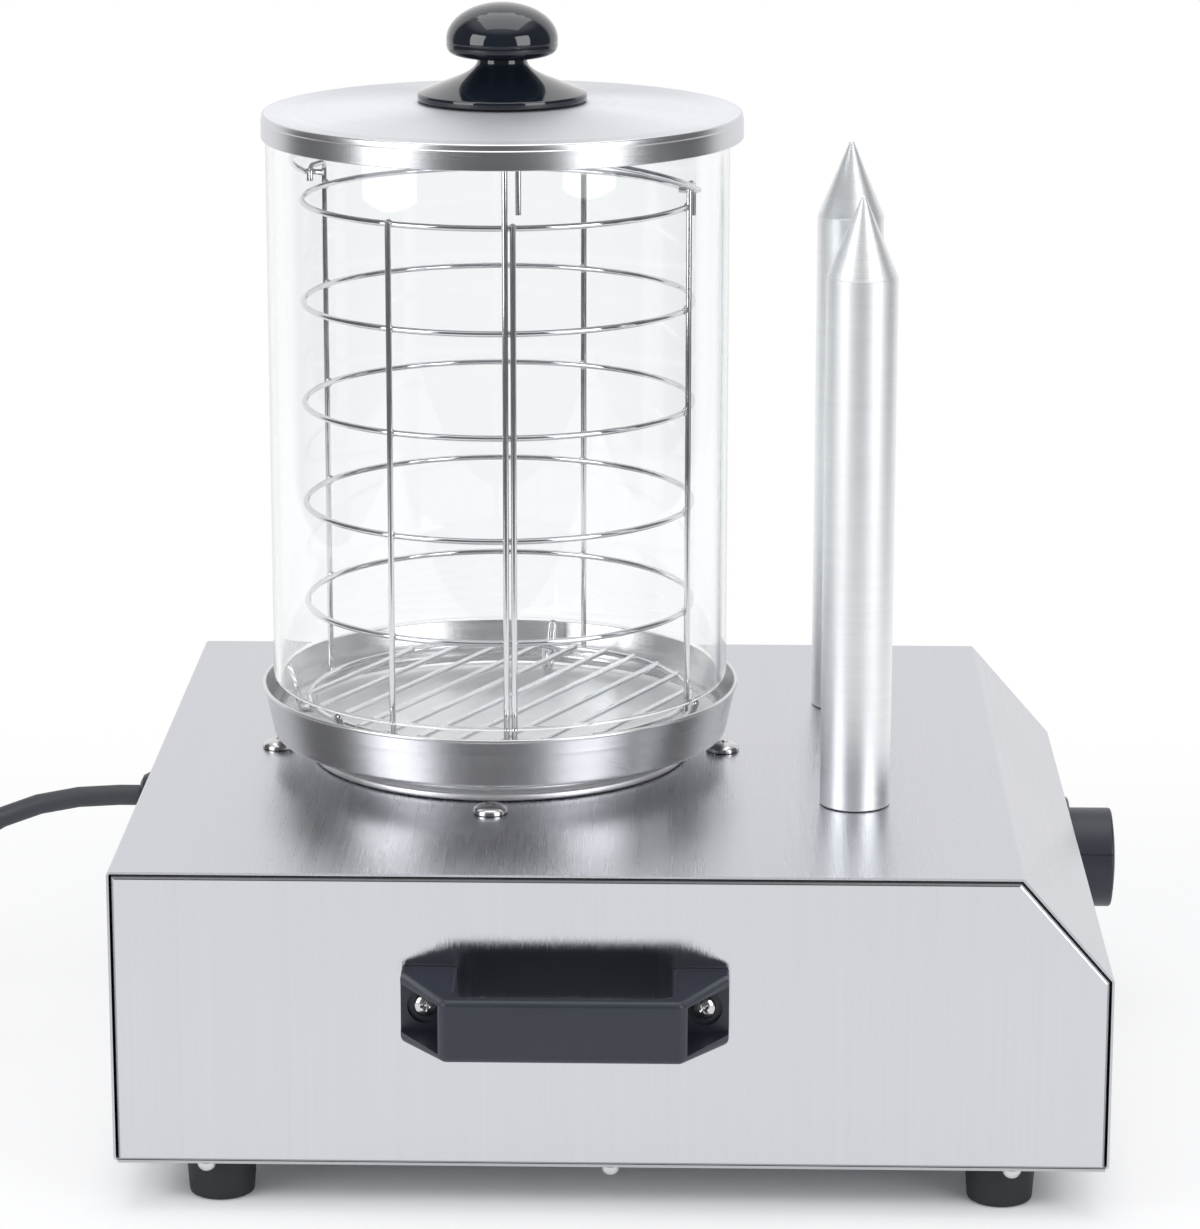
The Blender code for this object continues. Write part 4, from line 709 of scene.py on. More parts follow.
@dataclass(frozen=True)
class BrushedSheet(Finish):
    """Satin stainless sheet, brushed one way."""

    metallic: float = 1.0
    grain: Grain = Grain.ALONG_Z
    contrast: float = 0.075
    streaks: float = 1.0
    relief: float = 0.42
    face_at: float = 0.0
    hair_scale: float = 2600.0
    streak_scale: float = 420.0
    sweep_scale: float = 70.0
    cloud_scale: float = 7.0
    edge_shade: float = 0.45
    edge_haze: float = 0.4
    depth: float = 0.00006

    def paint(self, skin: Skin) -> Signal:
        """Brush the sheet and paint shade on its folded rims.

        Args:
            skin: The material's tree and shader.

        Returns:
            The surface's shader.
        """
        coords = skin.place(scale=self.grain.value)
        hair = skin.noise(coords, self.hair_scale, roughness=0.6)
        streak = skin.noise(coords, self.streak_scale, 3.0, 0.65)
        sweep = skin.noise(coords, self.sweep_scale)
        cloud = skin.noise(skin.place(), self.cloud_scale)
        tone = 1.0 + hair * self.contrast + streak * self.contrast + sweep * (self.contrast * 0.6)
        # The folded rims, inside the flat face at face_at, are darkened by edge_shade as painted shade to
        # dull their reflection, and made rougher by edge_haze.
        painted_shade_rim = skin.split(skin.place())[0].size().below(self.face_at)
        skin.tint((tone + cloud * 0.05) * (1.0 - painted_shade_rim * self.edge_shade))
        skin.feed(Roughness=self.roughness + streak * 0.09 + cloud * 0.07 + painted_shade_rim * self.edge_haze)
        skin.raise_bump(hair * 1.5 + streak * self.streaks, self.relief, self.depth)
        return skin.surface()


@dataclass(frozen=True)
class TurnedMetal(Finish):
    """Metal turned or brushed round an upright axis, with fine rings."""

    metallic: float = 1.0
    axis: tuple[float, float] = (0.0, 0.0)
    pull: float = 0.6
    contrast: float = 0.12
    ring_scale: float = 1700.0
    groove: float = 0.00005
    marks_above: float | None = None
    soft_within: float = 0.0
    softness: float = 0.14
    lift: float = 0.0
    matte: float = 0.0
    spokes: float = 1.6
    broad_scale: float = 0.16
    wedge_spread: float = 4.0
    wedge_scale: float = 2.2
    cone_scale: float = 5200.0
    relief: float = 0.25

    def paint(self, skin: Skin) -> Signal:
        """Turn the rings, stretch the gloss across them, and paint reflection wedges and a lighter middle.

        Args:
            skin: The material's tree and shader.

        Returns:
            The surface's shader.
        """
        skin.feed(Anisotropic=self.pull)
        x, y, z = skin.split(skin.place((*self.axis, 0.0)))
        radius = (x * x + y * y + TINY).root()
        travel = (radius + z) * self.ring_scale
        rings = skin.joined(X=travel, Y=x / radius * self.spokes, Z=y / radius * self.spokes)
        fine = skin.noise(rings, 1.0, 3.0, 0.7)
        broad = skin.noise(rings, self.broad_scale)
        # Noise in sectors round the axis lightens and darkens the colour in wedges as painted reflection,
        # like the bright and dark wedges that spun metal reflects; it also varies the roughness.
        sectors = skin.joined(X=radius * self.wedge_spread, Y=x / radius, Z=y / radius)
        painted_reflection_wedge = skin.noise(sectors, self.wedge_scale)
        tone = 1.0 + fine * self.contrast + broad * (self.contrast * 0.7) + painted_reflection_wedge * 0.14
        depth = fine + broad * 0.6
        if self.marks_above is not None:
            cone = z.above(self.marks_above)
            steps = (z * self.cone_scale).maths("SINE") * 0.5
            depth = depth + cone * steps
            tone = tone + cone * steps * 0.06
        # Within soft_within (the pan's floor, the lid's top) the colour is raised by lift as painted light;
        # matte makes the metal less metallic there and softness makes it rougher.
        within = radius.below(self.soft_within)
        skin.tint(tone * (1.0 + within * self.lift))
        soft = within * self.softness
        skin.feed(Metallic=self.metallic - within * self.matte,
                  Roughness=self.roughness + fine * 0.12 + painted_reflection_wedge * 0.05 + soft)
        skin.raise_bump(depth, self.relief, self.groove)
        return skin.surface()


@dataclass(frozen=True)
class DrawnWire(Finish):
    """Polished wire or plated steel, with faint drawing marks."""

    metallic: float = 1.0
    speck_scale: float = 900.0
    drift_scale: float = 45.0
    relief: float = 0.1
    depth: float = 0.00004

    def paint(self, skin: Skin) -> Signal:
        """Polish the wire.

        Args:
            skin: The material's tree and shader.

        Returns:
            The surface's shader.
        """
        speck = skin.noise(skin.place(), self.speck_scale, roughness=0.6)
        drift = skin.noise(skin.place(), self.drift_scale)
        skin.tint(1.0 + speck * 0.06 + drift * 0.1)
        skin.feed(Roughness=self.roughness + drift * 0.1 + speck * 0.04)
        skin.raise_bump(speck, self.relief, self.depth)
        return skin.surface()


@dataclass(frozen=True)
class Moulding(Finish):
    """Moulded plastic or rubber, with a fine spark-eroded grain."""

    grain_scale: float = 1500.0
    grain_depth: float = 0.00003
    grain_relief: float = 0.35
    flow_scale: float = 28.0
    coat: float = 0.0
    coat_roughness: float = 0.04

    def paint(self, skin: Skin) -> Signal:
        """Grain the moulding.

        Args:
            skin: The material's tree and shader.

        Returns:
            The surface's shader.
        """
        skin.feed(Coat_Weight=self.coat, Coat_Roughness=self.coat_roughness)
        grain = skin.noise(skin.place(), self.grain_scale, roughness=0.6)
        flow = skin.noise(skin.place(), self.flow_scale, 3.0)
        skin.tint(1.0 + flow * 0.25 + grain * 0.15)
        skin.feed(Roughness=self.roughness + flow * 0.1 + grain * 0.05)
        skin.raise_bump(grain, self.grain_relief, self.grain_depth)
        return skin.surface()


@dataclass(frozen=True)
class ClearGlass(Finish):
    """Clear glass with faint draw lines along its length, which lets most light by in shadow."""

    centre: tuple[float, float] = (0.0, 0.0)
    shadow_share: float = 0.93
    bending: float = 1.37
    line_scale: float = 300.0
    line_stretch: float = 0.01
    line_relief: float = 0.12
    line_depth: float = 0.00008

    def paint(self, skin: Skin) -> Signal:
        """Clear the glass.

        Args:
            skin: The material's tree and shader.

        Returns:
            The surface's shader.
        """
        skin.feed(Transmission_Weight=1.0, IOR=self.bending)
        coords = skin.place((*self.centre, 0.0), (1.0, 1.0, self.line_stretch))
        lines = skin.noise(coords, self.line_scale)
        skin.feed(Roughness=(lines * 0.02 + self.roughness).maths("MAXIMUM", 0.0))
        skin.raise_bump(lines, self.line_relief, self.line_depth)
        path = skin.signal("ShaderNodeLightPath", output="Is Shadow Ray")
        clear = skin.signal("ShaderNodeBsdfTransparent", None, {"Color": (*self.colour, 1.0)})
        return skin.signal("ShaderNodeMixShader", None, {
            0: path * self.shadow_share, 1: skin.surface(), 2: clear})


@dataclass(frozen=True)
class PrintedDial(Finish):
    """A dark dial plate with a ring of pale ticks round the shaft."""

    centre: tuple[float, float] = (0.0, 0.0)
    inner: float = 0.0242
    outer: float = 0.0268
    ticks: int = 11
    first: float = -135.0
    sweep: float = 270.0
    half_line: float = 0.00035
    ink: Colour = (0.75, 0.76, 0.78)
    haze_scale: float = 160.0

    def paint(self, skin: Skin) -> Signal:
        """Print the ticks.

        Args:
            skin: The material's tree and shader.

        Returns:
            The surface's shader.
        """
        x, _, z = skin.split(skin.place((self.centre[0], 0.0, self.centre[1])))
        radius = (x * x + z * z + TINY).root()
        ring = radius.above(self.inner) * radius.below(self.outer)
        marks: Signal | float = 0.0
        for k in range(self.ticks):
            turn = math.radians(self.first + self.sweep * k / (self.ticks - 1))
            aside = (x * math.cos(turn) - z * math.sin(turn)).size()
            ahead = x * math.sin(turn) + z * math.cos(turn)
            marks = aside.below(self.half_line) * ahead.above(0.0) + marks
        mask = ring * marks
        ink = skin.signal("ShaderNodeMix", {"data_type": "RGBA"}, {
            "Factor": mask, 6: (*self.colour, 1.0), 7: (*self.ink, 1.0)}, 2)
        skin.feed(Base_Color=ink)
        haze = skin.noise(skin.place(), self.haze_scale)
        skin.feed(Roughness=self.roughness + haze * 0.08)
        return skin.surface()


@dataclass(frozen=True)
class LampLens(Finish):
    """An amber lens with fine vertical prisms."""

    prism_scale: float = 7000.0
    prism_relief: float = 0.4
    prism_depth: float = 0.0001
    coat: float = 0.6

    def paint(self, skin: Skin) -> Signal:
        """Rib the lens.

        Args:
            skin: The material's tree and shader.

        Returns:
            The surface's shader.
        """
        skin.feed(Coat_Weight=self.coat)
        ribs = (skin.split(skin.place())[0] * self.prism_scale).maths("SINE")
        skin.tint(1.0 + ribs * 0.08)
        skin.raise_bump(ribs, self.prism_relief, self.prism_depth)
        return skin.surface()


STEAMER = (0.0, STEAMER_Y)
LID_AXIS = (0.0, LID_Y)

SHEET_TOP = BrushedSheet("cover_sheet", "stainless_satin", (0.585, 0.592, 0.632), 0.28, grain=Grain.ALONG_X,
                         contrast=0.045, streaks=0.35, relief=0.3)
SHEET_SIDE = BrushedSheet("side_sheet", "stainless_satin", (0.645, 0.655, 0.69), 0.09, grain=Grain.ALONG_Z,
                          contrast=0.05, face_at=0.1866)
# The pan's floor and the lid's top are painted lighter within soft_within by lift, as painted light.
PAN_STEEL = TurnedMetal("spun_pan", "stainless_satin", (0.72, 0.72, 0.73), 0.24, axis=STEAMER,
                        soft_within=0.0975, softness=0.1, lift=0.2, matte=0.2)
LID_STEEL = TurnedMetal("spun_lid", "stainless_satin", (0.68, 0.69, 0.72), 0.25, axis=LID_AXIS,
                        soft_within=0.1024, softness=0.3, lift=0.05, matte=0.28)
SPIKE_ALUMINIUM = {
    name: TurnedMetal(f"{name}_spike_aluminium", "aluminium", (0.95, 0.97, 0.99), 0.45, pull=0.2,
                      axis=(side * SPIKE_SIDE, SPIKE_ROW), contrast=0.12, marks_above=0.3742)
    for name, side in (("left", -1), ("right", 1))}
HEATER_CAST = TurnedMetal("heating_plate_aluminium", "aluminium", (0.62, 0.62, 0.63), 0.42,
                          axis=STEAMER, pull=0.2)
BRIGHT_WIRE = DrawnWire("polished_wire", "stainless_bright", (0.74, 0.74, 0.76), 0.07)
SCREW_STEEL = DrawnWire("plated_screw", "steel_screw", (0.66, 0.66, 0.67), 0.2)
ZINC = DrawnWire("zinc_plate", "zinc_steel", (0.52, 0.53, 0.55), 0.38)
DARK_SHEATH = DrawnWire("heater_sheath", "stainless_dark", (0.42, 0.4, 0.38), 0.42)
BLACK_SATIN = Moulding("satin_black_moulding", "black_plastic", (0.02, 0.024, 0.036), 0.4)
BLACK_GLOSS = Moulding("gloss_black_knob", "black_gloss", (0.008, 0.011, 0.018), 0.07, coat=0.5,
                       grain_depth=0.000002)
FOOT_RUBBER = Moulding("foot_rubber", "black_rubber", (0.012, 0.014, 0.019), 0.62, grain_scale=900.0)
PLUG_RUBBER = Moulding("plug_moulding", "black_rubber", (0.018, 0.018, 0.02), 0.5, grain_scale=1100.0)
CABLE_SHEATH = Moulding("cable_sheath", "cord_rubber", (0.045, 0.048, 0.058), 0.5, grain_scale=700.0)
TERMINAL_PLASTIC = Moulding("terminal_moulding", "terminal_white", (0.75, 0.74, 0.7), 0.5)
GLASS = ClearGlass("clear_glass", "glass_clear", (0.984, 0.997, 1.0), 0.0, centre=STEAMER)
DIAL_PRINT = PrintedDial("printed_dial", "dial_grey", (0.05, 0.051, 0.056), 0.34, centre=(0.088, 0.071))
AMBER = LampLens("amber_lens", "lamp_amber", (0.75, 0.25, 0.03), 0.15)


@dataclass
class Studio:
    """The camera, the floor, the pale surroundings and the soft lamps."""

    camera_place: Point = (-1.91864, -0.03693, 0.69393)
    yaw: float = 1.34
    pitch: float = 14.20
    roll: float = 0.06
    focal_length: float = 134.52
    sensor: float = 36.0
    floor_near: float = -1.0
    floor_far: float = 5.0
    floor_side: float = 1.2
    foot_width: float = 0.187
    foot_depth: float = 0.205
    contact: tuple[float, float] = (-0.03, 0.02)
    fade: tuple[float, float] = (0.04, 0.4)
    near_white: float = 0.7
    room_turn: tuple[float, float] = (0.42, 0.6)
    room_rise: tuple[float, float] = (0.6, 0.95)
    room_shade: float = 0.88
    zenith_rise: tuple[float, float] = (0.75, 0.97)
    zenith_shade: float = 0.25
    ambient: float = 0.56
    ambient_colour: Colour = (0.94, 0.97, 1.0)
    floor_colour: Colour = (0.93, 0.935, 0.95)
    floor_sink: float = 0.0004

    def build(self) -> None:
        """Set the camera first and then everything that lights the object."""
        self.add_camera()
        self.add_world()
        self.add_floor()
        self.add_lamps()

    def add_camera(self) -> None:
        """Stand the camera where the photograph was taken."""
        yaw, pitch, roll = (math.radians(angle) for angle in (self.yaw, self.pitch, self.roll))
        ahead = Vector((math.cos(yaw) * math.cos(pitch), math.sin(yaw) * math.cos(pitch), -math.sin(pitch)))
        level = Vector((math.sin(yaw), -math.cos(yaw), 0))
        rise = level.cross(ahead)
        right = level * math.cos(roll) + rise * math.sin(roll)
        top = rise * math.cos(roll) - level * math.sin(roll)
        data = bpy.data.cameras.new("camera")
        data.lens, data.sensor_width, data.sensor_fit = self.focal_length, self.sensor, "HORIZONTAL"
        data.clip_start, data.clip_end = 0.05, 50.0
        camera = added("camera", data)
        camera.matrix_world = Matrix((
            (right.x, top.x, -ahead.x, self.camera_place[0]),
            (right.y, top.y, -ahead.y, self.camera_place[1]),
            (right.z, top.z, -ahead.z, self.camera_place[2]),
            (0, 0, 0, 1)))
        bpy.context.scene.camera = camera

    def seen_directly(self, graph: Graph) -> Signal:
        """Return 1 on camera, glossy and transmission rays.

        Args:
            graph: The tree that it goes in.

        Returns:
            The signal.
        """
        path = graph.node("ShaderNodeLightPath")
        shares = [Signal(graph, path.outputs[name])
                  for name in ("Is Camera Ray", "Is Glossy Ray", "Is Transmission Ray")]
        return shares[0].maths("MAXIMUM", shares[1]).maths("MAXIMUM", shares[2])

    def add_world(self) -> None:
        """Make a white surround for what is seen and a dimmer one for what it lights."""
        scene = bpy.context.scene
        scene.world = bpy.data.worlds.new("surround")
        scene.world.use_nodes = True
        tree = scene.world.node_tree
        tree.nodes.clear()
        graph = Graph(tree)
        path = graph.node("ShaderNodeLightPath")
        reflected = Signal(graph, path.outputs["Glossy Depth"]).band(0.2, 0.8)
        toward, _, height = graph.split(graph.signal("ShaderNodeTexCoord", output="Generated"))
        room = (1.0 - toward).band(*self.room_turn) * (1.0 - height.band(*self.room_rise))
        seen = self.seen_directly(graph)
        zenith = height.band(*self.zenith_rise) * self.zenith_shade
        strength = seen * (1.0 - reflected * (room * self.room_shade + zenith))
        white = graph.signal("ShaderNodeBackground", None, {"Color": WHITE, "Strength": strength})
        lighting = graph.signal("ShaderNodeBackground", None, {
            "Color": (*self.ambient_colour, 1.0), "Strength": self.ambient})
        mixed = graph.signal("ShaderNodeMixShader", None, {0: seen, 1: lighting, 2: white})
        graph.node("ShaderNodeOutputWorld", None, {"Surface": mixed})
        scene.view_settings.view_transform = "Standard"

    def add_floor(self) -> None:
        """Lay the pale floor, white beside the object and with its full shadow under it."""
        form = bmesh.new()
        corners = ((self.floor_near, -self.floor_side), (self.floor_far, -self.floor_side),
                   (self.floor_far, self.floor_side), (self.floor_near, self.floor_side))
        form.faces.new([form.verts.new((x, y, 0)) for x, y in corners])
        floor = added("floor", to_mesh(form, "floor"))
        floor.location = (0, 0, -self.floor_sink)
        made = bpy.data.materials.new("pale_floor")
        made.use_nodes = True
        made.node_tree.nodes.clear()
        graph = Graph(made.node_tree)
        x, y, _ = graph.split(graph.signal("ShaderNodeTexCoord", output="Object"))
        outside = (x.size() - self.foot_width).maths("MAXIMUM", y.size() - self.foot_depth)
        plain = graph.signal("ShaderNodeBsdfDiffuse", None, {"Color": (*self.floor_colour, 1.0)})
        white = graph.signal("ShaderNodeEmission", None, {"Color": WHITE, "Strength": 1.0})
        share = self.seen_directly(graph) * outside.band(*self.contact)
        share = share * (self.near_white + outside.band(*self.fade) * (1.0 - self.near_white))
        mixed = graph.signal("ShaderNodeMixShader", None, {0: share, 1: plain, 2: white})
        graph.node("ShaderNodeOutputMaterial", None, {"Surface": mixed})
        floor.data.materials.append(made)

    def lamp(self, name: str, place: Point, size: tuple[float, float], power: float,
             target: Point) -> None:
        """Hang one soft rectangular lamp.

        Args:
            name: The lamp's name.
            place: Where it hangs.
            size: Its width and height.
            power: Its power in watts.
            target: The point that it faces.
        """
        data = bpy.data.lights.new(name, "AREA")
        data.shape, data.size, data.size_y, data.energy = "RECTANGLE", *size, power
        lamp = added(name, data)
        lamp.location = place
        lamp.rotation_mode = "QUATERNION"
        lamp.rotation_quaternion = (Vector(target) - Vector(place)).to_track_quat("-Z", "Y")

    def add_lamps(self) -> None:
        """Hang a soft lamp on each side of the camera and a wide one overhead."""
        self.lamp("left_softbox", (-1.0, 1.3, 0.75), (0.9, 1.3), 13.0, (0, 0.05, 0.25))
        self.lamp("right_softbox", (-1.15, -1.2, 0.75), (0.9, 1.3), 13.0, (0, 0.05, 0.25))
        self.lamp("overhead", (0.1, 0.0, 1.9), (1.6, 1.6), 11.0, (0, 0, 0))


def eased_share(share: float) -> float:
    """Return a share from 0 to 1 eased at both ends."""
    return 3 * share ** 2 - 2 * share ** 3


@dataclass
class MainsCable:
    """The mains cable from the gland to its coil, with the tie round the coil and the plug."""

    radius: float = 0.005
    length: float = 1.8
    exit: Point = (0.13, 0.2303, 0.085)
    route: tuple[Point, ...] = ((0.13, 0.262, 0.0835), (0.13, 0.298, 0.073), (0.1305, 0.331, 0.0495),
                                (0.131, 0.36, 0.0225))
    step: float = 0.02
    drift: float = 0.0015
    coil_radius: float = 0.0556
    pitch: float = 0.0107
    turns: float = 4.46
    steps_round: int = 24
    coil_y: float = 0.412
    plug_radius: float = 0.018
    boot_length: float = 0.034
    body_length: float = 0.032
    pin_radius: float = 0.0024
    pin_length: float = 0.019
    pin_spacing: float = 0.019
    pin_taper: Point = (0.0009, 0.0012, 0.0002)
    pin_root: float = 0.001
    boot_radii: tuple[float, float] = (0.0064, 0.0092)
    boot_start: float = 0.002
    ribs: int = 6
    rib_height: float = 0.0024
    rib_depth: float = 0.0011
    rib_slope: float = 0.0002
    rib_gap: float = 0.001
    waist: tuple[float, float] = (0.0148, 0.014)
    shoulder: tuple[float, float] = (0.0178, 0.02)
    plug_edge: float = 0.002
    tie_turn: float = 205.0
    tie_width: float = 0.012
    tie_thickness: float = 0.0011

    def build(self) -> None:
        """Lay the cable, strap its coil and mould its plug."""
        coil, leave = self.coil_line()
        free = self.free_line(coil[0])
        line = [*free[:-1], *coil]
        cable = self.sweep(line)
        tie = self.make_tie(coil)
        turn = leave.to_track_quat("Z", "Y").to_matrix().to_4x4()
        place = Matrix.Translation(coil[-1] + leave * GAP) @ turn
        plug, pins = self.make_plug(place), self.make_pins(place)

    def radii(self) -> tuple[float, float]:
        """Return the radii of the coil's inmost and outmost turn."""
        small = self.coil_radius - self.pitch * self.turns / 4
        return small, small + self.pitch * self.turns / 2

    def centre(self) -> Vector:
        """Return the coil's centre on the floor."""
        return Vector((self.exit[0] - self.radii()[1] + self.drift, self.coil_y, 0))

    def coil_line(self) -> tuple[list[Vector], Vector]:
        """Wind the coil: in on the floor, up a layer, out on top, straight to the plug.

        Returns:
            The centre line and the way that it leaves.
        """
        swing = self.turns * math.tau
        middle = swing / 2
        small, large = self.radii()
        centre = self.centre()
        low = self.radius + GAP
        high, plug_height = low + self.pitch, self.plug_radius + GAP
        count = round(self.turns * self.steps_round)
        points = [centre + Vector((large, -2 * self.radius, low))]
        for index in range(count + 1):
            turn = swing * index / count
            radius = small + self.pitch * abs(turn - middle) / math.tau
            climb = min(max((turn - middle + math.pi / 2) / math.pi, 0), 1)
            lift = min(max((turn - swing + math.pi / 2) / (math.pi / 2), 0), 1)
            height = low + (high - low) * eased_share(climb)
            height += (plug_height - high) * eased_share(lift)
            points.append(centre + Vector((radius * math.cos(turn), radius * math.sin(turn), height)))
        leave = Vector((-math.sin(swing), math.cos(swing), 0))
        tail = self.length - self.run(self.free_line(points[0])) - self.run(points)
        points.append(points[-1] + leave * 2 * self.radius)
        points.append(points[-1] + leave * (tail - 2 * self.radius))
        return points, leave

    def free_line(self, coil_start: Vector) -> list[Vector]:
        """Return the centre line from the gland down to the coil.

        Args:
            coil_start: The coil's first point.

        Returns:
            The line.
        """
        straight = Vector((0, 2 * self.radius, 0))
        first, last = Vector(self.exit), coil_start - Vector((0, GAP, 0))
        knots = [first + straight, *(Vector(knot) for knot in self.route), last - straight]
        return [first, *self.eased(knots), last]

    def eased(self, knots: Sequence[Vector]) -> list[Vector]:
        """Return even points on a smooth curve through the knots, level along Y at both ends.

        Args:
            knots: The points that it passes.

        Returns:
            The curve's points.
        """
        places = np.array([tuple(knot) for knot in knots])
        spans = np.linalg.norm(np.diff(places, axis=0), axis=1)
        count = len(places)
        system, right = np.eye(count), np.zeros((count, 3))
        right[0] = right[-1] = (0, 1, 0)
        for index in range(1, count - 1):
            before, after = spans[index - 1], spans[index]
            system[index, index - 1:index + 2] = (1 / before, 2 / before + 2 / after, 1 / after)
            right[index] = 3 * ((places[index] - places[index - 1]) / before ** 2
                                + (places[index + 1] - places[index]) / after ** 2)
        ways = np.linalg.solve(system, right)
        fine = []
        for index, span in enumerate(spans):
            for t in np.linspace(0, 1, 40, endpoint=False):
                rise = eased_share(t)
                fine.append(places[index] * (1 - rise) + places[index + 1] * rise
                            + ways[index] * span * (t ** 3 - 2 * t ** 2 + t)
                            + ways[index + 1] * span * (t ** 3 - t ** 2))
        line = np.array([*fine, places[-1]])
        travel = np.concatenate(([0], np.cumsum(np.linalg.norm(np.diff(line, axis=0), axis=1))))
        stations = np.linspace(0, travel[-1], round(travel[-1] / self.step) + 1)
        return [Vector([np.interp(at, travel, line[:, k]) for k in range(3)]) for at in stations]

    def run(self, points: Sequence[Vector]) -> float:
        """Return a line's length."""
        return sum((b - a).length for a, b in zip(points, points[1:]))

    def sweep(self, line: Sequence[Vector]) -> bpy.types.Object:
        """Sweep the round sheath along its line.

        Args:
            line: The centre line.

        Returns:
            The cable.
        """
        curve = bpy.data.curves.new("mains_cable", "CURVE")
        curve.dimensions = "3D"
        curve.bevel_depth, curve.bevel_resolution, curve.use_fill_caps = self.radius, 4, True
        spline = curve.splines.new("POLY")
        spline.points.add(len(line) - 1)
        for knot, point in zip(spline.points, line):
            knot.co = (*point, 1.0)
        spline.use_smooth = True
        cable = added("mains_cable", curve)
        curve.materials.append(CABLE_SHEATH.material())
        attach(cable, Body.HOUSING.value)
        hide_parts("cord", "cord_coil")
        return cable

    def make_tie(self, coil: Sequence[Vector]) -> bpy.types.Object:
        """Strap the coil's turns together at one place.

        Args:
            coil: The coil's centre line.

        Returns:
            The tie.
        """
        centre = self.centre()
        turn = math.radians(self.tie_turn)
        outward = Vector((math.cos(turn), math.sin(turn), 0))
        round_way = Vector((-math.sin(turn), math.cos(turn), 0))
        near = [point - centre for point in coil
                if (point - centre).dot(outward) > 0
                and abs((point - centre).dot(round_way)) < self.tie_width]
        reaches = [math.hypot(point.x, point.y) for point in near]
        low, high = min(reaches) - self.radius, max(reaches) + self.radius
        top = max(point.z for point in near) + self.radius
        under = self.tie_thickness
        corners = [(low, under), (high, under), (high, top), (low, top)]
        ring: list[tuple[float, float]] = []
        for (x, z), start in zip(corners, (180, 270, 0, 90)):
            shift_x = self.radius * (1 if x == low else -1)
            shift_z = self.radius * (1 if z == under else -1)
            ring += arc((x + shift_x, z + shift_z), self.radius + GAP, start, start + 90, 6)
        form = extruded([centre + outward * x + Vector((0, 0, max(z, under)))
                         - round_way * self.tie_width / 2 for x, z in ring], round_way * self.tie_width)
        caps = [item for item in form.faces if len(item.verts) > 4]
        bmesh.ops.delete(form, geom=caps, context="FACES_ONLY")
        bmesh.ops.recalc_face_normals(form, faces=form.faces)
        piece = show("cable_tie", to_mesh(form, "cable_tie", 60), PLUG_RUBBER)
        wall = piece.modifiers.new("wall", "SOLIDIFY")
        wall.thickness, wall.offset = self.tie_thickness, 1.0
        return piece

    def make_plug(self, place: Matrix) -> bpy.types.Object:
        """Mould the plug with its ribbed boot and finger waist.

        Args:
            place: Where the cable enters it, its Z along the plug.

        Returns:
            The plug.
        """
        boot, end = self.boot_length, self.boot_length + self.body_length
        thin, thick = self.boot_radii
        profile = [(0.0, 0.0), (thin, 0.0)]
        for rib in range(self.ribs):
            share = (rib + 0.5) / self.ribs
            base = thin + (thick - thin) * share
            height = self.boot_start + (boot - 3 * self.boot_start) * share
            valley = height + self.rib_height + self.rib_slope
            profile += [(base, height), (base, height + self.rib_height), (base - self.rib_depth, valley),
                        (base - self.rib_depth, valley + self.rib_gap)]
        edge = self.plug_edge
        profile += [(thick, boot - 0.0015), *arc((0.013, boot + edge), edge, 200, 90, 4),
                    *softened([(0.015, boot + 2 * edge), (self.waist[0], boot + self.waist[1]),
                               (self.shoulder[0], boot + self.shoulder[1]), (self.plug_radius, end - edge),
                               (self.plug_radius - edge, end), (0.0, end)], 0.0012)]
        form = moved(lathe(profile, 40), place)
        return show("plug_body", to_mesh(form, "plug_body", 40), PLUG_RUBBER, ["plug"])

    def make_pins(self, place: Matrix) -> bpy.types.Object:
        """Set the plug's two round pins.

        Args:
            place: Where the cable enters the plug, its Z along the plug.

        Returns:
            The pins.
        """
        foot = self.boot_length + self.body_length - self.pin_root
        tip = foot + self.pin_root + self.pin_length
        inset, shoulder, nose = self.pin_taper
        outline = [(0.0, foot), (self.pin_radius, foot), (self.pin_radius, tip - shoulder),
                   (self.pin_radius - inset, tip - nose), (0.0, tip)]
        forms = [moved(lathe(outline, 24), Matrix.Translation((side * self.pin_spacing / 2, 0, 0)))
                 for side in (-1, 1)]
        form = moved(gathered(forms), place)
        return show("plug_pins", to_mesh(form, "plug_pins", 40), SCREW_STEEL)


def carved(form: bmesh.types.BMesh, cutters: Sequence[bmesh.types.BMesh], name: str,
           sharp_above: float = SHARP_ABOVE) -> bpy.types.Mesh:
    """Cut forms from a solid and return the plain mesh, its flat faces shaded flat.

    Args:
        form: The solid.
        cutters: The forms, one for each step.
        name: The mesh's name.
        sharp_above: The angle in degrees over which an edge stays sharp.

    Returns:
        The mesh.
    """
    solid = added(name, to_mesh(form, name))
    tools = []
    for index, cutter in enumerate(cutters):
        tool = added(f"{name}_tool_{index}", to_mesh(cutter, "tool"))
        tools.append(tool)
        step = solid.modifiers.new(f"step_{index}", "BOOLEAN")
        step.operation = "DIFFERENCE"
        step.solver, step.object = "EXACT", tool
    mesh = evaluated(solid)
    for done in [solid, *tools]:
        bpy.data.objects.remove(done, do_unlink=True)
    mesh.shade_smooth()
    mesh.set_sharp_from_angle(angle=math.radians(sharp_above))
    solid = added(name, mesh)
    solid.modifiers.new("even", "WEIGHTED_NORMAL").keep_sharp = True
    evened = evaluated(solid)
    bpy.data.objects.remove(solid, do_unlink=True)
    evened.name = name
    return evened


def prism(outline: Sequence[Point], depth: float) -> bmesh.types.BMesh:
    """Raise a flat outline along Z.

    Args:
        outline: The (x, y) points.
        depth: The height.

    Returns:
        The closed form.
    """
    form = extruded([(point[0], point[1], 0) for point in outline], (0, 0, depth))
    bmesh.ops.recalc_face_normals(form, faces=form.faces)
    return form


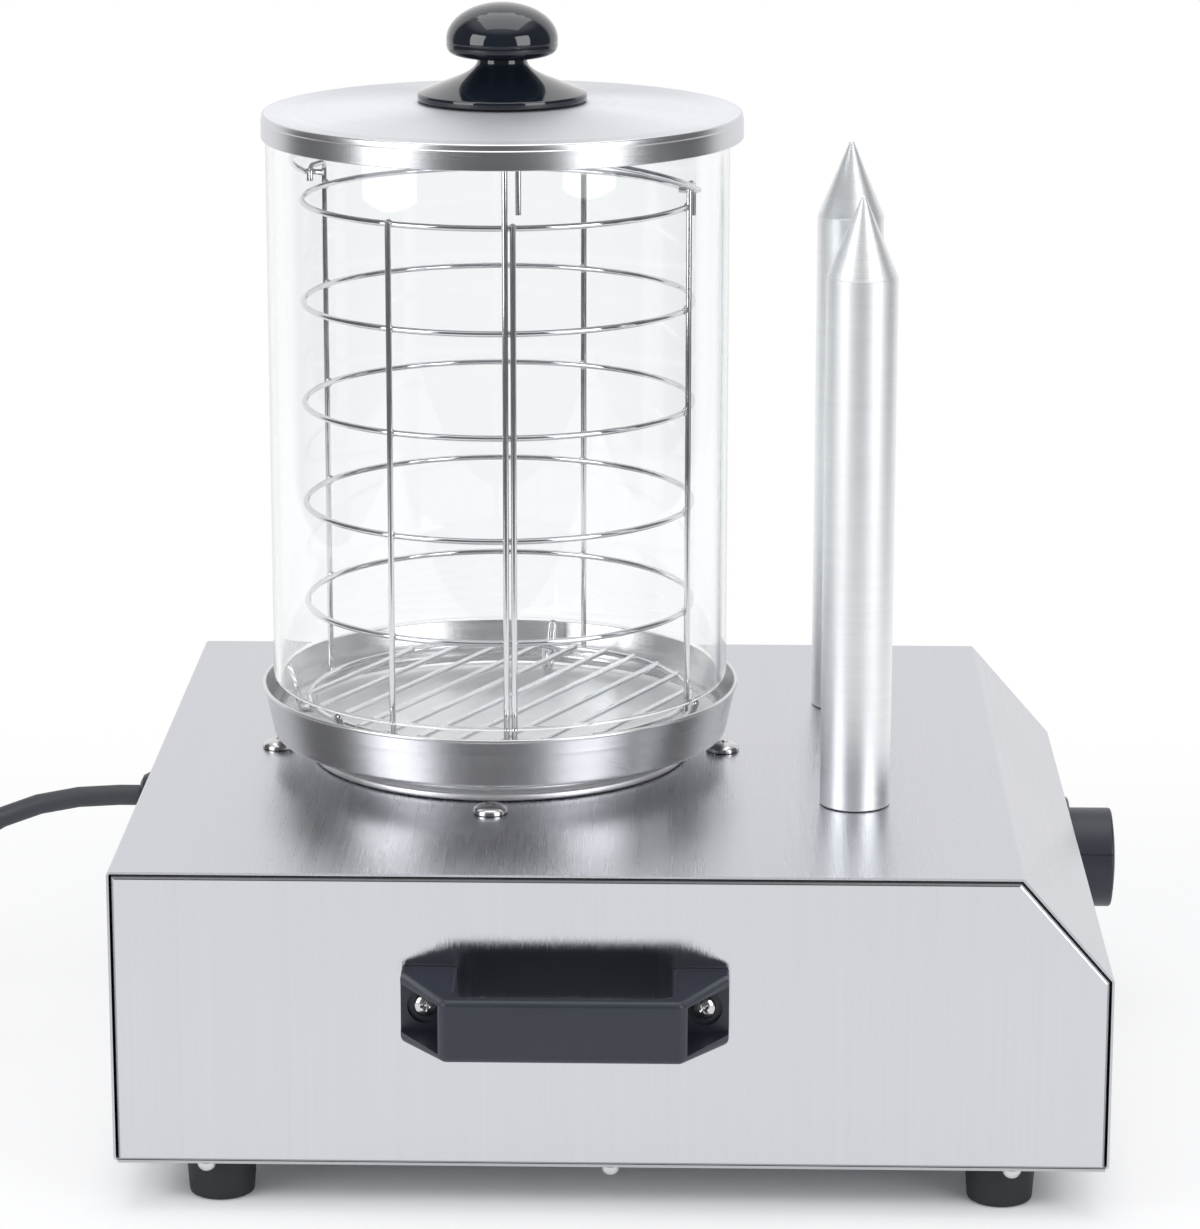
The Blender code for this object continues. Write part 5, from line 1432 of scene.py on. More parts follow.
def wire_mesh(name: str, lines: Sequence[Sequence[Point]], radius: float, finish: Finish,
              sides: int = 14) -> bpy.types.Mesh:
    """Sweep round wire along several open lines.

    Args:
        name: The mesh's name.
        lines: The centre lines.
        radius: The wire's radius.
        finish: What it is made of.
        sides: The points round the wire.

    Returns:
        The mesh.
    """
    tree = GeometryTree(f"{name}_sweep", {"Wire radius": radius, "Section points": sides})
    curve = tree.signal("GeometryNodeMeshToCurve", None, {"Mesh": Signal(tree, tree.source.outputs[0])})
    tree.close(tree.tube(curve, tree.size("Section points")), finish.material())
    return tree.grow(polyline(name, lines), name)


def scattered(name: str, model: bpy.types.Mesh, places: Sequence[Point], way: Point, finish: Finish,
              twist: float = math.pi, seed: int = 3) -> bpy.types.Mesh:
    """Repeat a small model at several places.

    Args:
        name: The new mesh's name.
        model: The mesh that is repeated, its own axis along Z.
        places: Where the copies go.
        way: The way that their axes point.
        finish: What they are made of.
        twist: The most that a copy is turned about its axis.
        seed: The seed of those turns.

    Returns:
        The mesh of all the copies.
    """
    holder = added(f"{name}_model", model)
    tree = GeometryTree(f"{name}_scatter", {"Most twist": twist, "Seed": seed})
    copied = tree.signal("GeometryNodeObjectInfo", None, {"Object": holder}, "Geometry")
    turn = tree.node("FunctionNodeRandomValue", {"data_type": "FLOAT"}, {"Seed": tree.size("Seed")})
    tree.tree.links.new(tree.size("Most twist").socket, turn.inputs[3])
    spin = tree.signal("FunctionNodeAxisAngleToRotation", None, {
        "Axis": (0.0, 0.0, 1.0), "Angle": Signal(tree, turn.outputs[1])})
    aim = tree.signal("FunctionNodeAlignRotationToVector", {"axis": "Z"}, {"Vector": tuple(way)})
    facing = tree.signal("FunctionNodeRotateRotation", {"rotation_space": "LOCAL"}, {
        "Rotation": aim, "Rotate By": spin})
    placed = tree.signal("GeometryNodeInstanceOnPoints", None, {
        "Points": Signal(tree, tree.source.outputs[0]), "Instance": copied, "Rotation": facing})
    tree.close(placed, finish.material())
    base = bpy.data.meshes.new(name)
    base.from_pydata([tuple(place) for place in places], [], [])
    mesh = tree.grow(base, name)
    bpy.data.objects.remove(holder, do_unlink=True)
    mesh.set_sharp_from_angle(angle=math.radians(SHARP_ABOVE))
    return mesh


def as_form(*meshes: bpy.types.Mesh) -> bmesh.types.BMesh:
    """Read meshes into one bmesh and remove them.

    Args:
        meshes: The meshes.

    Returns:
        One form with all of them.
    """
    form = bmesh.new()
    for mesh in meshes:
        form.from_mesh(mesh)
        bpy.data.meshes.remove(mesh)
    return form


@dataclass
class Screw:
    """A pan-head screw with a cross recess, its head up and the head's underside at the origin."""

    head_radius: float
    head_height: float
    shank_radius: float
    reach: float
    rim_share: float = 0.18
    arm_share: float = 0.46
    slot_share: float = 0.12
    depth_share: float = 0.62
    recess_ends: tuple[float, float] = (1.1, 0.45)
    segments: int = 40

    def mesh(self, name: str) -> bpy.types.Mesh:
        """Turn the screw and cut its recess.

        Args:
            name: The mesh's name.

        Returns:
            The mesh.
        """
        rim = self.head_height * self.rim_share
        turns = [math.pi / 2 * (1 - k / 10) for k in range(10)]
        dome = [(self.head_radius * math.cos(turn), rim + (self.head_height - rim) * math.sin(turn))
                for turn in turns]
        profile = [*dome, (self.head_radius, rim), (self.head_radius, 0.0), (self.shank_radius, 0.0),
                   (self.shank_radius, -self.reach), (0.0, -self.reach)]
        return carved(lathe(profile, self.segments), [self.recess()], name, sharp_above=35)

    def drive(self, name: str, seats: Sequence[Point], way: Point, nodes: Sequence[str],
              seed: int = 3) -> None:
        """Set the screw at several seats.

        Args:
            name: The piece's name.
            seats: Where the heads' undersides go.
            way: The way that the heads face.
            nodes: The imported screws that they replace.
            seed: The seed of their turns.
        """
        screws = scattered(name, self.mesh(f"{name}_model"), seats, way, SCREW_STEEL, seed=seed)
        show(name, screws, SCREW_STEEL, nodes)

    def recess(self) -> bmesh.types.BMesh:
        """Return the cross-shaped cutter, narrower towards its foot.

        Returns:
            The form that is cut from the head.
        """
        arm, slot = self.head_radius * self.arm_share, self.head_radius * self.slot_share
        cross = [(arm, slot), (slot, slot), (slot, arm), (-slot, arm), (-slot, slot), (-arm, slot),
                 (-arm, -slot), (-slot, -slot), (-slot, -arm), (slot, -arm), (slot, -slot), (arm, -slot)]
        top = self.head_height * 1.2
        foot = self.head_height * (1 - self.depth_share)
        form = bmesh.new()
        rings = [[form.verts.new((x * size, y * size, height)) for x, y in cross]
                 for size, height in zip(self.recess_ends, (top, foot))]
        form.faces.new(rings[0])
        form.faces.new(list(reversed(rings[1])))
        for k in range(len(cross)):
            after = (k + 1) % len(cross)
            form.faces.new((rings[0][k], rings[1][k], rings[1][after], rings[0][after]))
        bmesh.ops.recalc_face_normals(form, faces=form.faces)
        return form


@dataclass
class Housing:
    """The folded sheet housing, its base plate, feet and screws, and what it holds inside."""

    rear: float = 0.204
    base_bottom: float = 0.0205
    foot_height: float = 0.0202
    foot_top: float = 0.015
    foot_bottom: float = 0.0135
    foot_recess: float = 0.0065
    foot_recess_depth: float = 0.009
    foot_hole: float = 0.0023
    foot_edge: float = 0.0016
    foot_inset: float = 0.0255
    foot_rear: float = 0.042
    foot_front: float = 0.043
    base_inset: float = 0.0058
    base_rear: float = 0.038
    base_front: float = 0.0396
    base_screw: Screw = field(default_factory=lambda: Screw(0.004, 0.0045, 0.0018, 0.0078))
    foot_screw: Screw = field(default_factory=lambda: Screw(0.0045, 0.003, 0.002, 0.0167))

    def build(self) -> None:
        """Dress the sheet and stand it on its feet."""
        dress(SHEET_TOP, "wrap_cover")
        dress(SHEET_SIDE, "left_side_panel", "right_side_panel")
        dress(ZINC, "base_plate", "heater_bracket", "left_spike_nut", "right_spike_nut")
        dress(HEATER_CAST, "heating_plate")
        dress(DARK_SHEATH, "left_spike_heater", "right_spike_heater")
        dress(TERMINAL_PLASTIC, "terminal_block")
        dress(BLACK_SATIN, "cable_gland", "gland_lock_nut", "thermostat_body", "switch_body")
        self.make_feet()
        self.make_base_screws()

    def foot_places(self) -> list[tuple[float, float, float]]:
        """Return where the feet stand."""
        rows = (self.rear - self.foot_rear, FRONT + self.foot_front)
        return [(side * (HALF_WIDTH - self.foot_inset), row, 0.0) for side in (-1, 1) for row in rows]

    def make_feet(self) -> None:
        """Mould the four feet with their rounded rims and screw recesses."""
        hole = self.foot_hole
        outline = [(hole, self.foot_height), *softened([
            (hole + 0.001, self.foot_height), (self.foot_top, self.foot_height),
            (self.foot_bottom, 0.0), (self.foot_recess, 0.0),
            (self.foot_recess, self.foot_recess_depth), (hole, self.foot_recess_depth)], self.foot_edge, 4)]
        foot = to_mesh(lathe(outline, 48, loop=True), "foot", 40)
        feet = scattered("feet", foot, self.foot_places(), (0, 0, 1), FOOT_RUBBER, 0.0)
        show("feet", feet, FOOT_RUBBER, numbered("foot", 4))
        seats = [(x, y, self.foot_recess_depth - GAP) for x, y, _ in self.foot_places()]
        self.foot_screw.drive("foot_screws", seats, (0, 0, -1), numbered("foot_screw", 4))

    def make_base_screws(self) -> None:
        """Set the six screws whose heads hang below the base plate."""
        rows = (self.rear - self.base_rear, (self.rear + FRONT) / 2, FRONT + self.base_front)
        seats = [(side * (HALF_WIDTH - self.base_inset), row, self.base_bottom - GAP)
                 for side in (-1, 1) for row in rows]
        self.base_screw.drive("base_screws", seats, (0, 0, -1), numbered("base_screw", 6))


@dataclass
class SteamPan:
    """The spun pan, the four screws round it and the wire rests that stand in it."""

    rim_radius: float = 0.1051
    rim_height: float = 0.0334
    rim_roll: float = 0.0009
    foot_radius: float = 0.1
    foot_height: float = 0.011
    floor_radius: float = 0.09
    floor_height: float = 0.0137
    wall: float = 0.0011
    bead_height: float = 0.0262
    bead: float = 0.00004
    collar_radius: float = 0.079
    collar_wall: float = 0.0012
    flange_radius: float = 0.084
    flange_height: float = 0.0037
    hole_radius: float = 0.066
    floor_bend: float = 0.0075
    foot_bend: float = 0.0016
    bead_half: float = 0.0006
    screw_circle: float = 0.0987
    screw: Screw = field(default_factory=lambda: Screw(
        0.0074, 0.0038, 0.0025, 0.0088, arm_share=0.34, slot_share=0.1))
    rest_radius: float = 0.00095
    rest_spacing: float = 0.0025
    rest_bend: float = 0.0019
    rest_turn: float = 0.0012
    rest_rise: float = 0.0107
    rest_seat: float = 0.0355
    rest_reach: tuple[float, ...] = (0.0845, 0.0855, 0.0905, 0.0975)
    rest_angles: tuple[float, ...] = (78.0, 172.0, 227.0, 333.0)

    def build(self) -> None:
        """Spin the pan, drive its screws and bend the rests."""
        show("steam_pan", self.pan_mesh(), PAN_STEEL, ["pan"])
        seats = [around(self.screw_circle, angle, TOP + GAP, STEAMER_Y)
                 for angle in (0, 90, 180, 270)]
        self.screw.drive("pan_screws", seats, (0, 0, 1), numbered("pan_screw", 4), seed=5)
        rests = wire_mesh("wire_rests", self.rest_lines(), self.rest_radius, BRIGHT_WIRE, 12)
        rests.set_sharp_from_angle(angle=math.radians(50))
        show("wire_rests", rests, BRIGHT_WIRE, numbered("glass_rest", 4))

    def pan_mesh(self) -> bpy.types.Mesh:
        """Return the pan with its rolled rim, spun line, collar and seating flange.

        Returns:
            The pan's mesh.
        """
        wall_top = self.rim_height - 2 * self.rim_roll
        lean = (self.rim_radius - self.rim_roll - self.foot_radius) / (wall_top - self.foot_height)

        def outside(height: float) -> float:
            """Return the wall's outer radius at a height."""
            return self.foot_radius + lean * (height - self.foot_height)

        inside_top = (self.rim_radius - self.rim_roll - self.wall, wall_top)
        inside = softened([(0.0, self.floor_height), (self.floor_radius * 0.5, self.floor_height),
                           (self.foot_radius - self.wall, self.floor_height), inside_top], self.floor_bend, 8)
        roll = arc((self.rim_radius - self.rim_roll, self.rim_height - self.rim_roll),
                   self.rim_roll, 180, -90, 12)
        line, half = self.bead_height, self.bead_half
        bead = [(outside(line + half), line + half), (outside(line) + self.bead, line),
                (outside(line - half), line - half)]
        below = softened([(outside(self.bead_height - 0.002), self.bead_height - 0.002),
                          (self.foot_radius, self.foot_height), (self.collar_radius, self.foot_height),
                          (self.collar_radius, self.flange_height),
                          (self.flange_radius, self.flange_height), (self.flange_radius, GAP),
                          (self.hole_radius, GAP)], self.foot_bend, 5)
        inner = self.collar_radius - self.collar_wall
        profile = [*inside[:-1], *roll, *bead, *below, (self.hole_radius, GAP + self.collar_wall),
                   (inner, GAP + self.collar_wall), (inner, self.foot_height), (0.0, self.foot_height)]
        form = moved(lathe(profile, 200), Matrix.Translation((0, STEAMER_Y, TOP)))
        return to_mesh(form, "steam_pan", 30)

    def rest_lines(self) -> list[list[Vector]]:
        """Return the hairpins that carry the glass and the basket.

        Returns:
            The points of each wire.
        """
        floor = TOP + self.floor_height + GAP + self.rest_radius
        inner_top = TOP + self.floor_height + self.rest_rise
        seat = TOP + self.rest_seat - GAP - self.rest_radius
        lines = []
        for angle in self.rest_angles:
            aside = around(self.rest_spacing / 2, angle + 90, 0, 0)
            arm = [around(radius, angle, height, STEAMER_Y)
                   for radius, height in zip(self.rest_reach, (inner_top, floor, floor, seat))]
            hairpin = [point - aside for point in arm] + [point + aside for point in reversed(arm)]
            lines.append(rounded(hairpin, self.rest_bend, 6, {2: self.rest_turn, 3: self.rest_turn}))
        return lines


@dataclass
class GlassCylinder:
    """The clear cylinder with its fire-polished edges."""

    foot: float = 0.182
    length: float = 0.248
    radius: float = 0.1
    wall: float = 0.003

    def build(self) -> None:
        """Draw the cylinder."""
        middle, half = self.radius - self.wall / 2, self.wall / 2
        low, high = self.foot + half, self.foot + self.length - half
        outline = [*arc((middle, high), half, 0, 180, 8), *arc((middle, low), half, 180, 360, 8)]
        form = moved(lathe(outline, 192, loop=True), Matrix.Translation((0, STEAMER_Y, 0)))
        show("glass_wall", to_mesh(form, "glass_wall", 80), GLASS, ["glass_cylinder"], Body.GLASS)


@dataclass
class Basket:
    """The welded wire basket: rings, bottom bars, uprights with their hooks, and the bail."""

    foot: float = 0.1725
    wire: float = 0.0013
    weld: float = 0.0009
    ring_radius: float = 0.0845
    pitch: float = 0.0443
    rings: int = 6
    bar_spacing: float = 0.016
    bars: int = 10
    bar_set: float = 0.0008
    bar_way: Point = (0.891, -0.454, 0.0)
    plain_angles: tuple[float, ...] = (276.6, 240.7, 66.0)
    front_angle: float = 274.4
    left_angle: float = 156.0
    hinge_angle: float = 163.95
    hinge_rise: float = 0.007
    hook_bend: float = 0.00295
    front_bend: float = 0.0029
    front_inset: float = 0.0019
    front_rise: float = 0.0296
    front_tail: float = 0.024
    right_tail: float = 0.0111
    left_tail: float = 0.0035
    bail_radius: float = 0.0897
    bail_lean: float = 17.5
    bail_bend: float = 0.0022
    bail_steps: int = 72
    wire_sides: int = 14
    ring_steps: int = 180
    hook_share: float = 0.92
    bead_share: float = 0.6
    stub_radius: float = 0.081
    bead: float = 0.0015

    def build(self) -> None:
        """Weld the basket and hang its bail."""
        uprights = self.upright_lines()
        meshes = [self.ring_mesh(), self.bar_mesh(),
                  wire_mesh("uprights", uprights, self.wire, BRIGHT_WIRE), self.bead_mesh(uprights)]
        weldment = to_mesh(as_form(*meshes), "basket_wires", 50)
        show("basket_wires", weldment, BRIGHT_WIRE, ["basket"], Body.BASKET)
        bail = wire_mesh("bail_wire", [self.bail_line()], self.wire, BRIGHT_WIRE)
        bail.set_sharp_from_angle(angle=math.radians(60))
        show("bail_wire", bail, BRIGHT_WIRE, ["basket_bail"], Body.BAIL)

    def top(self) -> float:
        """Return the height of the top ring."""
        return self.foot + self.pitch * (self.rings - 1)

    def upright_radius(self) -> float:
        """Return the radius on which the uprights stand outside the rings."""
        return self.ring_radius + 2 * self.wire - self.weld

    def ring_mesh(self) -> bpy.types.Mesh:
        """Stack the rings with one tree.

        Returns:
            The rings' mesh.
        """
        tree = GeometryTree("ring_stack", {
            "Ring radius": self.ring_radius, "Wire radius": self.wire, "Ring pitch": self.pitch,
            "Ring count": self.rings, "First height": self.foot, "Axis Y": STEAMER_Y})
        start = tree.joined(Y=tree.size("Axis Y"), Z=tree.size("First height"))
        step = tree.joined(Z=tree.size("Ring pitch"))
        stack = tree.signal("GeometryNodeMeshLine", {"mode": "OFFSET"}, {
            "Count": tree.size("Ring count"), "Start Location": start, "Offset": step})
        ring = tree.signal("GeometryNodeCurvePrimitiveCircle", None, {
            "Resolution": self.ring_steps, "Radius": tree.size("Ring radius")})
        placed = tree.signal("GeometryNodeInstanceOnPoints", None, {"Points": stack, "Instance": ring})
        real = tree.signal("GeometryNodeRealizeInstances", None, {"Geometry": placed})
        tree.close(tree.tube(real, self.wire_sides, caps=False), BRIGHT_WIRE.material())
        return tree.grow(bpy.data.meshes.new("rings"), "rings")

    def bar_mesh(self) -> bpy.types.Mesh:
        """Lay the bottom bars across the lowest ring, each as long as the ring lets it be.

        Returns:
            The bars' mesh.
        """
        heading = math.atan2(self.bar_way[1], self.bar_way[0])
        tree = GeometryTree("bar_grid", {
            "Ring radius": self.ring_radius, "Wire radius": self.wire, "Bar spacing": self.bar_spacing,
            "Bar count": self.bars, "Heading": heading, "Height": self.foot + self.bar_set,
            "Axis Y": STEAMER_Y})
        spacing, count = tree.size("Bar spacing"), tree.size("Bar count")
        start = tree.joined(Y=spacing * (count - 1.0) * -0.5)
        step = tree.joined(Y=spacing)
        row = tree.signal("GeometryNodeMeshLine", {"mode": "OFFSET"}, {
            "Count": count, "Start Location": start, "Offset": step})
        offset = tree.split(tree.signal("GeometryNodeInputPosition"))[1]
        radius = tree.size("Ring radius")
        half = (radius * radius - offset * offset).root()
        stretch = tree.joined(X=half, Y=1.0, Z=1.0)
        line = tree.signal("GeometryNodeCurvePrimitiveLine", None, {
            "Start": (-1.0, 0.0, 0.0), "End": (1.0, 0.0, 0.0)})
        placed = tree.signal("GeometryNodeInstanceOnPoints", None, {
            "Points": row, "Instance": line, "Scale": stretch})
        real = tree.signal("GeometryNodeRealizeInstances", None, {"Geometry": placed})
        laid = tree.signal("GeometryNodeTransform", None, {
            "Geometry": real, "Rotation": tree.joined(Z=tree.size("Heading")),
            "Translation": tree.joined(Y=tree.size("Axis Y"), Z=tree.size("Height"))})
        tree.close(tree.tube(laid, self.wire_sides), BRIGHT_WIRE.material())
        return tree.grow(bpy.data.meshes.new("bars"), "bars")

    def upright(self, angle: float, top: float) -> list[Vector]:
        """Return the ends of one straight upright.

        Args:
            angle: Where it stands.
            top: How high it reaches.

        Returns:
            Its two ends.
        """
        radius = self.upright_radius()
        return [around(radius, angle, height, STEAMER_Y) for height in (self.foot - self.wire / 2, top)]

    def upright_lines(self) -> list[list[Vector]]:
        """Return the uprights, the last three with their hooks.

        Returns:
            The points of each upright.
        """
        lines = [self.upright(angle, self.top() + self.wire) for angle in self.plain_angles]
        radius, axis_y = self.upright_radius(), STEAMER_Y
        hinge = self.top() + self.hinge_rise
        crown = hinge + self.hook_bend
        half = math.degrees(math.asin(self.hook_bend / radius))
        facing = self.hinge_angle + 180
        right = self.upright(facing - half, crown)
        right += [around(radius, facing + half, crown, axis_y),
                  around(radius, facing + half, hinge - self.right_tail, axis_y)]
        left = self.upright(self.left_angle, crown)
        left += [around(radius, self.hinge_angle + half, crown, axis_y),
                 around(radius, self.hinge_angle + half, hinge - self.left_tail, axis_y)]
        front_top = self.top() + self.front_rise
        turn = self.front_angle + math.degrees(2 * math.asin(self.front_bend / radius))
        front = self.upright(self.front_angle, front_top)
        front += [around(radius - self.front_inset, turn, front_top, axis_y),
                  around(radius - self.front_inset, turn, front_top - self.front_tail, axis_y)]
        lines += [rounded(hook, self.hook_bend * self.hook_share, 8) for hook in (right, left, front)]
        return lines

    def bead_mesh(self, uprights: Sequence[Sequence[Vector]]) -> bpy.types.Mesh:
        """Put a small weld bead at every crossing of a ring with an upright or a bar's end.

        Args:
            uprights: The uprights' centre lines.

        Returns:
            The beads.
        """
        axis = Vector((0, STEAMER_Y, 0))
        places = []
        for line in uprights:
            side = Vector((line[0].x, line[0].y, 0)) - axis
            spot = axis + side.normalized() * (self.ring_radius + self.wire - self.weld / 2)
            places += [spot + Vector((0, 0, self.foot + ring * self.pitch + self.wire * share))
                       for ring in range(self.rings) for share in (-self.bead_share, self.bead_share)]
        along = Vector(self.bar_way).normalized()
        across = Vector((-along.y, along.x, 0))
        for index in range(self.bars):
            offset = (index - (self.bars - 1) / 2) * self.bar_spacing
            half = math.sqrt(self.ring_radius ** 2 - offset ** 2)
            places += [axis + across * offset + along * end * half + Vector((0, 0, self.foot + self.bar_set))
                       for end in (-1, 1)]
        form = bmesh.new()
        bmesh.ops.create_icosphere(form, subdivisions=2, radius=self.bead)
        return scattered("weld_beads", to_mesh(form, "bead", 80), places, (0, 0, 1), BRIGHT_WIRE)

    def bail_line(self) -> list[Vector]:
        """Return the bail's centre line, from one hook to the other.

        Returns:
            The bail's points.
        """
        hinge = around(1.0, self.hinge_angle, 0, 0)
        level = Vector((-hinge.y, hinge.x, 0))
        lean = math.radians(self.bail_lean)
        rise = level * math.cos(lean) + Vector((0, 0, math.sin(lean)))
        first = 2 * self.bail_bend / self.bail_radius
        turns = [first + (math.pi - 2 * first) * k / self.bail_steps for k in range(self.bail_steps + 1)]
        bow = [(hinge * math.cos(turn) + rise * math.sin(turn)) * self.bail_radius for turn in turns]
        start = rounded([hinge * self.stub_radius, hinge * self.bail_radius, bow[0]], self.bail_bend, 6)
        stop = rounded([bow[-1], -hinge * self.bail_radius, -hinge * self.stub_radius], self.bail_bend, 6)
        middle = Vector((0, STEAMER_Y, self.top() + self.hinge_rise))
        return [middle + point for point in start[:-1] + bow + stop[1:]]


@dataclass
class Lid:
    """The spun lid with its step line, and the turned knob with its moulding seam."""

    seat: float = 0.4303
    radius: float = 0.10375
    step: float = 0.0004
    step_drop: float = 0.0026
    skirt: float = 0.0098
    skirt_edge: float = 0.0003
    sheet: float = 0.0011
    edge: float = 0.001
    dome_radius: float = 0.094
    dome_height: float = 0.0046
    bore: float = 0.0025
    screw_reach: float = 0.014
    flange_radius: float = 0.0365
    flange_edge: float = 0.003
    flange_rise: float = 0.009
    foot_radius: float = 0.0213
    neck_radius: float = 0.0107
    neck_height: float = 0.0169
    ball_radius: float = 0.024
    ball_height: float = 0.0258
    ball_rise: float = 0.0157
    ball_sink: float = 0.008
    seam_drop: float = 0.0013
    seam_width: float = 0.0003
    seam: float = 0.0002
    seam_turn: float = 4.0
    flange_bend: float = 0.0007

    def build(self) -> None:
        """Spin the lid, turn its knob and dress the screw between them."""
        show("spun_lid", self.lid_mesh(), LID_STEEL, ["lid"], Body.LID)
        show("turned_knob", self.knob_mesh(), BLACK_GLOSS, ["lid_knob"], Body.LID)
        dress(SCREW_STEEL, "lid_knob_screw")

    def lid_mesh(self) -> bpy.types.Mesh:
        """Return the lid with its crowned top, rounded edge, step and skirt.

        Returns:
            The lid's mesh.
        """
        dome = [(max(self.bore, self.dome_radius * share), self.dome_height * (1 - share ** 2))
                for share in (k / 14 for k in range(15))]
        upper = [(radius, height + self.sheet) for radius, height in dome]
        shoulder = self.radius - self.step
        low = self.sheet - self.step_drop
        edge = arc((shoulder - self.edge, self.sheet - self.edge), self.edge, 90, 0, 8)
        profile = [*upper, *edge, (shoulder, low), (self.radius, low - self.step),
                   (self.radius, -self.skirt + self.skirt_edge),
                   (self.radius - self.skirt_edge, -self.skirt),
                   (self.radius - self.sheet, -self.skirt), (self.radius - self.sheet, 0), *reversed(dome)]
        form = moved(lathe(profile, 200, loop=True), Matrix.Translation((0, LID_Y, self.seat)))
        return to_mesh(form, "spun_lid", 25)

    def knob_mesh(self) -> bpy.types.Mesh:
        """Return the mushroom knob with its flared foot and the moulding seam under its widest line.

        Returns:
            The knob's mesh.
        """
        low_turn = math.degrees(math.acos((self.neck_radius / self.ball_radius) ** 2))

        def below(turn: float) -> tuple[float, float]:
            """Return a point of the squarer underside at an angle under the widest line.

            Args:
                turn: The angle in degrees.

            Returns:
                The point.
            """
            angle = math.radians(turn)
            return (self.ball_radius * math.sqrt(math.cos(angle)),
                    self.ball_height - self.ball_sink * math.sqrt(math.sin(angle)))

        def above(turn: float) -> tuple[float, float]:
            """Return a point of the crown at an angle over the widest line."""
            angle = math.radians(turn)
            return (self.ball_radius * math.cos(angle), self.ball_height + self.ball_rise * math.sin(angle))

        under = [below(low_turn + (self.seam_turn - low_turn) * k / 14) for k in range(15)]
        height = self.ball_height - self.seam_drop
        seam = [(self.ball_radius, height - self.seam_width), (self.ball_radius - self.seam, height),
                (self.ball_radius, height + self.seam_width)]
        flange = softened([(self.bore, 0), (self.flange_radius, 0), (self.flange_radius, self.flange_edge),
                           (self.foot_radius, self.flange_rise)], self.flange_bend, 4)
        neck = [(self.neck_radius + (self.foot_radius - self.neck_radius) * (1 - share) ** 2,
                 self.flange_rise + (self.neck_height - self.flange_rise) * share)
                for share in (k / 10 for k in range(11))]
        outline = [(0, self.screw_reach + GAP), (self.bore, self.screw_reach + GAP), *flange[:-1],
                   *neck, *under, *seam, *(above(turn) for turn in range(0, 90, 6)),
                   (0, self.ball_height + self.ball_rise)]
        place = Matrix.Translation((0, LID_Y, self.seat + self.sheet + self.dome_height + GAP))
        return to_mesh(moved(lathe(outline, 120), place), "turned_knob", 35)


@dataclass
class Spikes:
    """The two turned bun spikes, bored for their heater cartridges."""

    radius: float = 0.01495
    shoulder: float = 0.22765
    height: float = 0.2609
    step: float = 0.0003
    step_inset: float = 0.0002
    tip: float = 0.0012
    foot_edge: float = 0.0005
    bore: float = 0.0065
    bore_top: float = 0.1913
    spigot_radius: float = 0.009
    spigot_length: float = 0.011

    def build(self) -> None:
        """Turn both spikes."""
        for name, finish in SPIKE_ALUMINIUM.items():
            place = Matrix.Translation((*finish.axis, TOP))
            mesh = to_mesh(moved(lathe(self.profile(), 112), place), f"turned_{name}_spike", 25)
            show(f"turned_{name}_spike", mesh, finish, [f"{name}_spike"])

    def profile(self) -> list[tuple[float, float]]:
        """Return the spike's outline, from its bore round to its tip.

        Returns:
            The outline from the axis.
        """
        slope = math.degrees(math.atan2(self.height - self.tip - self.shoulder, self.radius - self.tip))
        nose = arc((0.0, self.height - self.tip), self.tip, 90 - slope, 90, 6)
        foot = arc((self.radius - self.foot_edge, GAP + self.foot_edge), self.foot_edge, -90, 0, 4)
        return [(0, self.bore_top), (self.bore, self.bore_top), (self.bore, -self.spigot_length),
                (self.spigot_radius, -self.spigot_length), (self.spigot_radius, GAP), *foot,
                (self.radius, self.shoulder - self.step), (self.radius - self.step_inset, self.shoulder),
                *nose[:-1],
                (0, self.height)]


def box(low: Point, high: Point, edge: float = 0.0, segments: int = 3) -> bmesh.types.BMesh:
    """Make a block between two corners, its edges rounded.

    Args:
        low: The lower corner.
        high: The upper corner.
        edge: The radius of its edges.
        segments: The steps of that radius.

    Returns:
        The form.
    """
    form = bmesh.new()
    size = Vector(high) - Vector(low)
    middle = (Vector(high) + Vector(low)) / 2
    bmesh.ops.create_cube(form, size=1.0, matrix=Matrix.Translation(middle) @ Matrix.Diagonal((*size, 1.0)))
    if edge:
        bmesh.ops.bevel(form, geom=form.edges[:], offset=edge, segments=segments, affect="EDGES", profile=0.5)
    return form


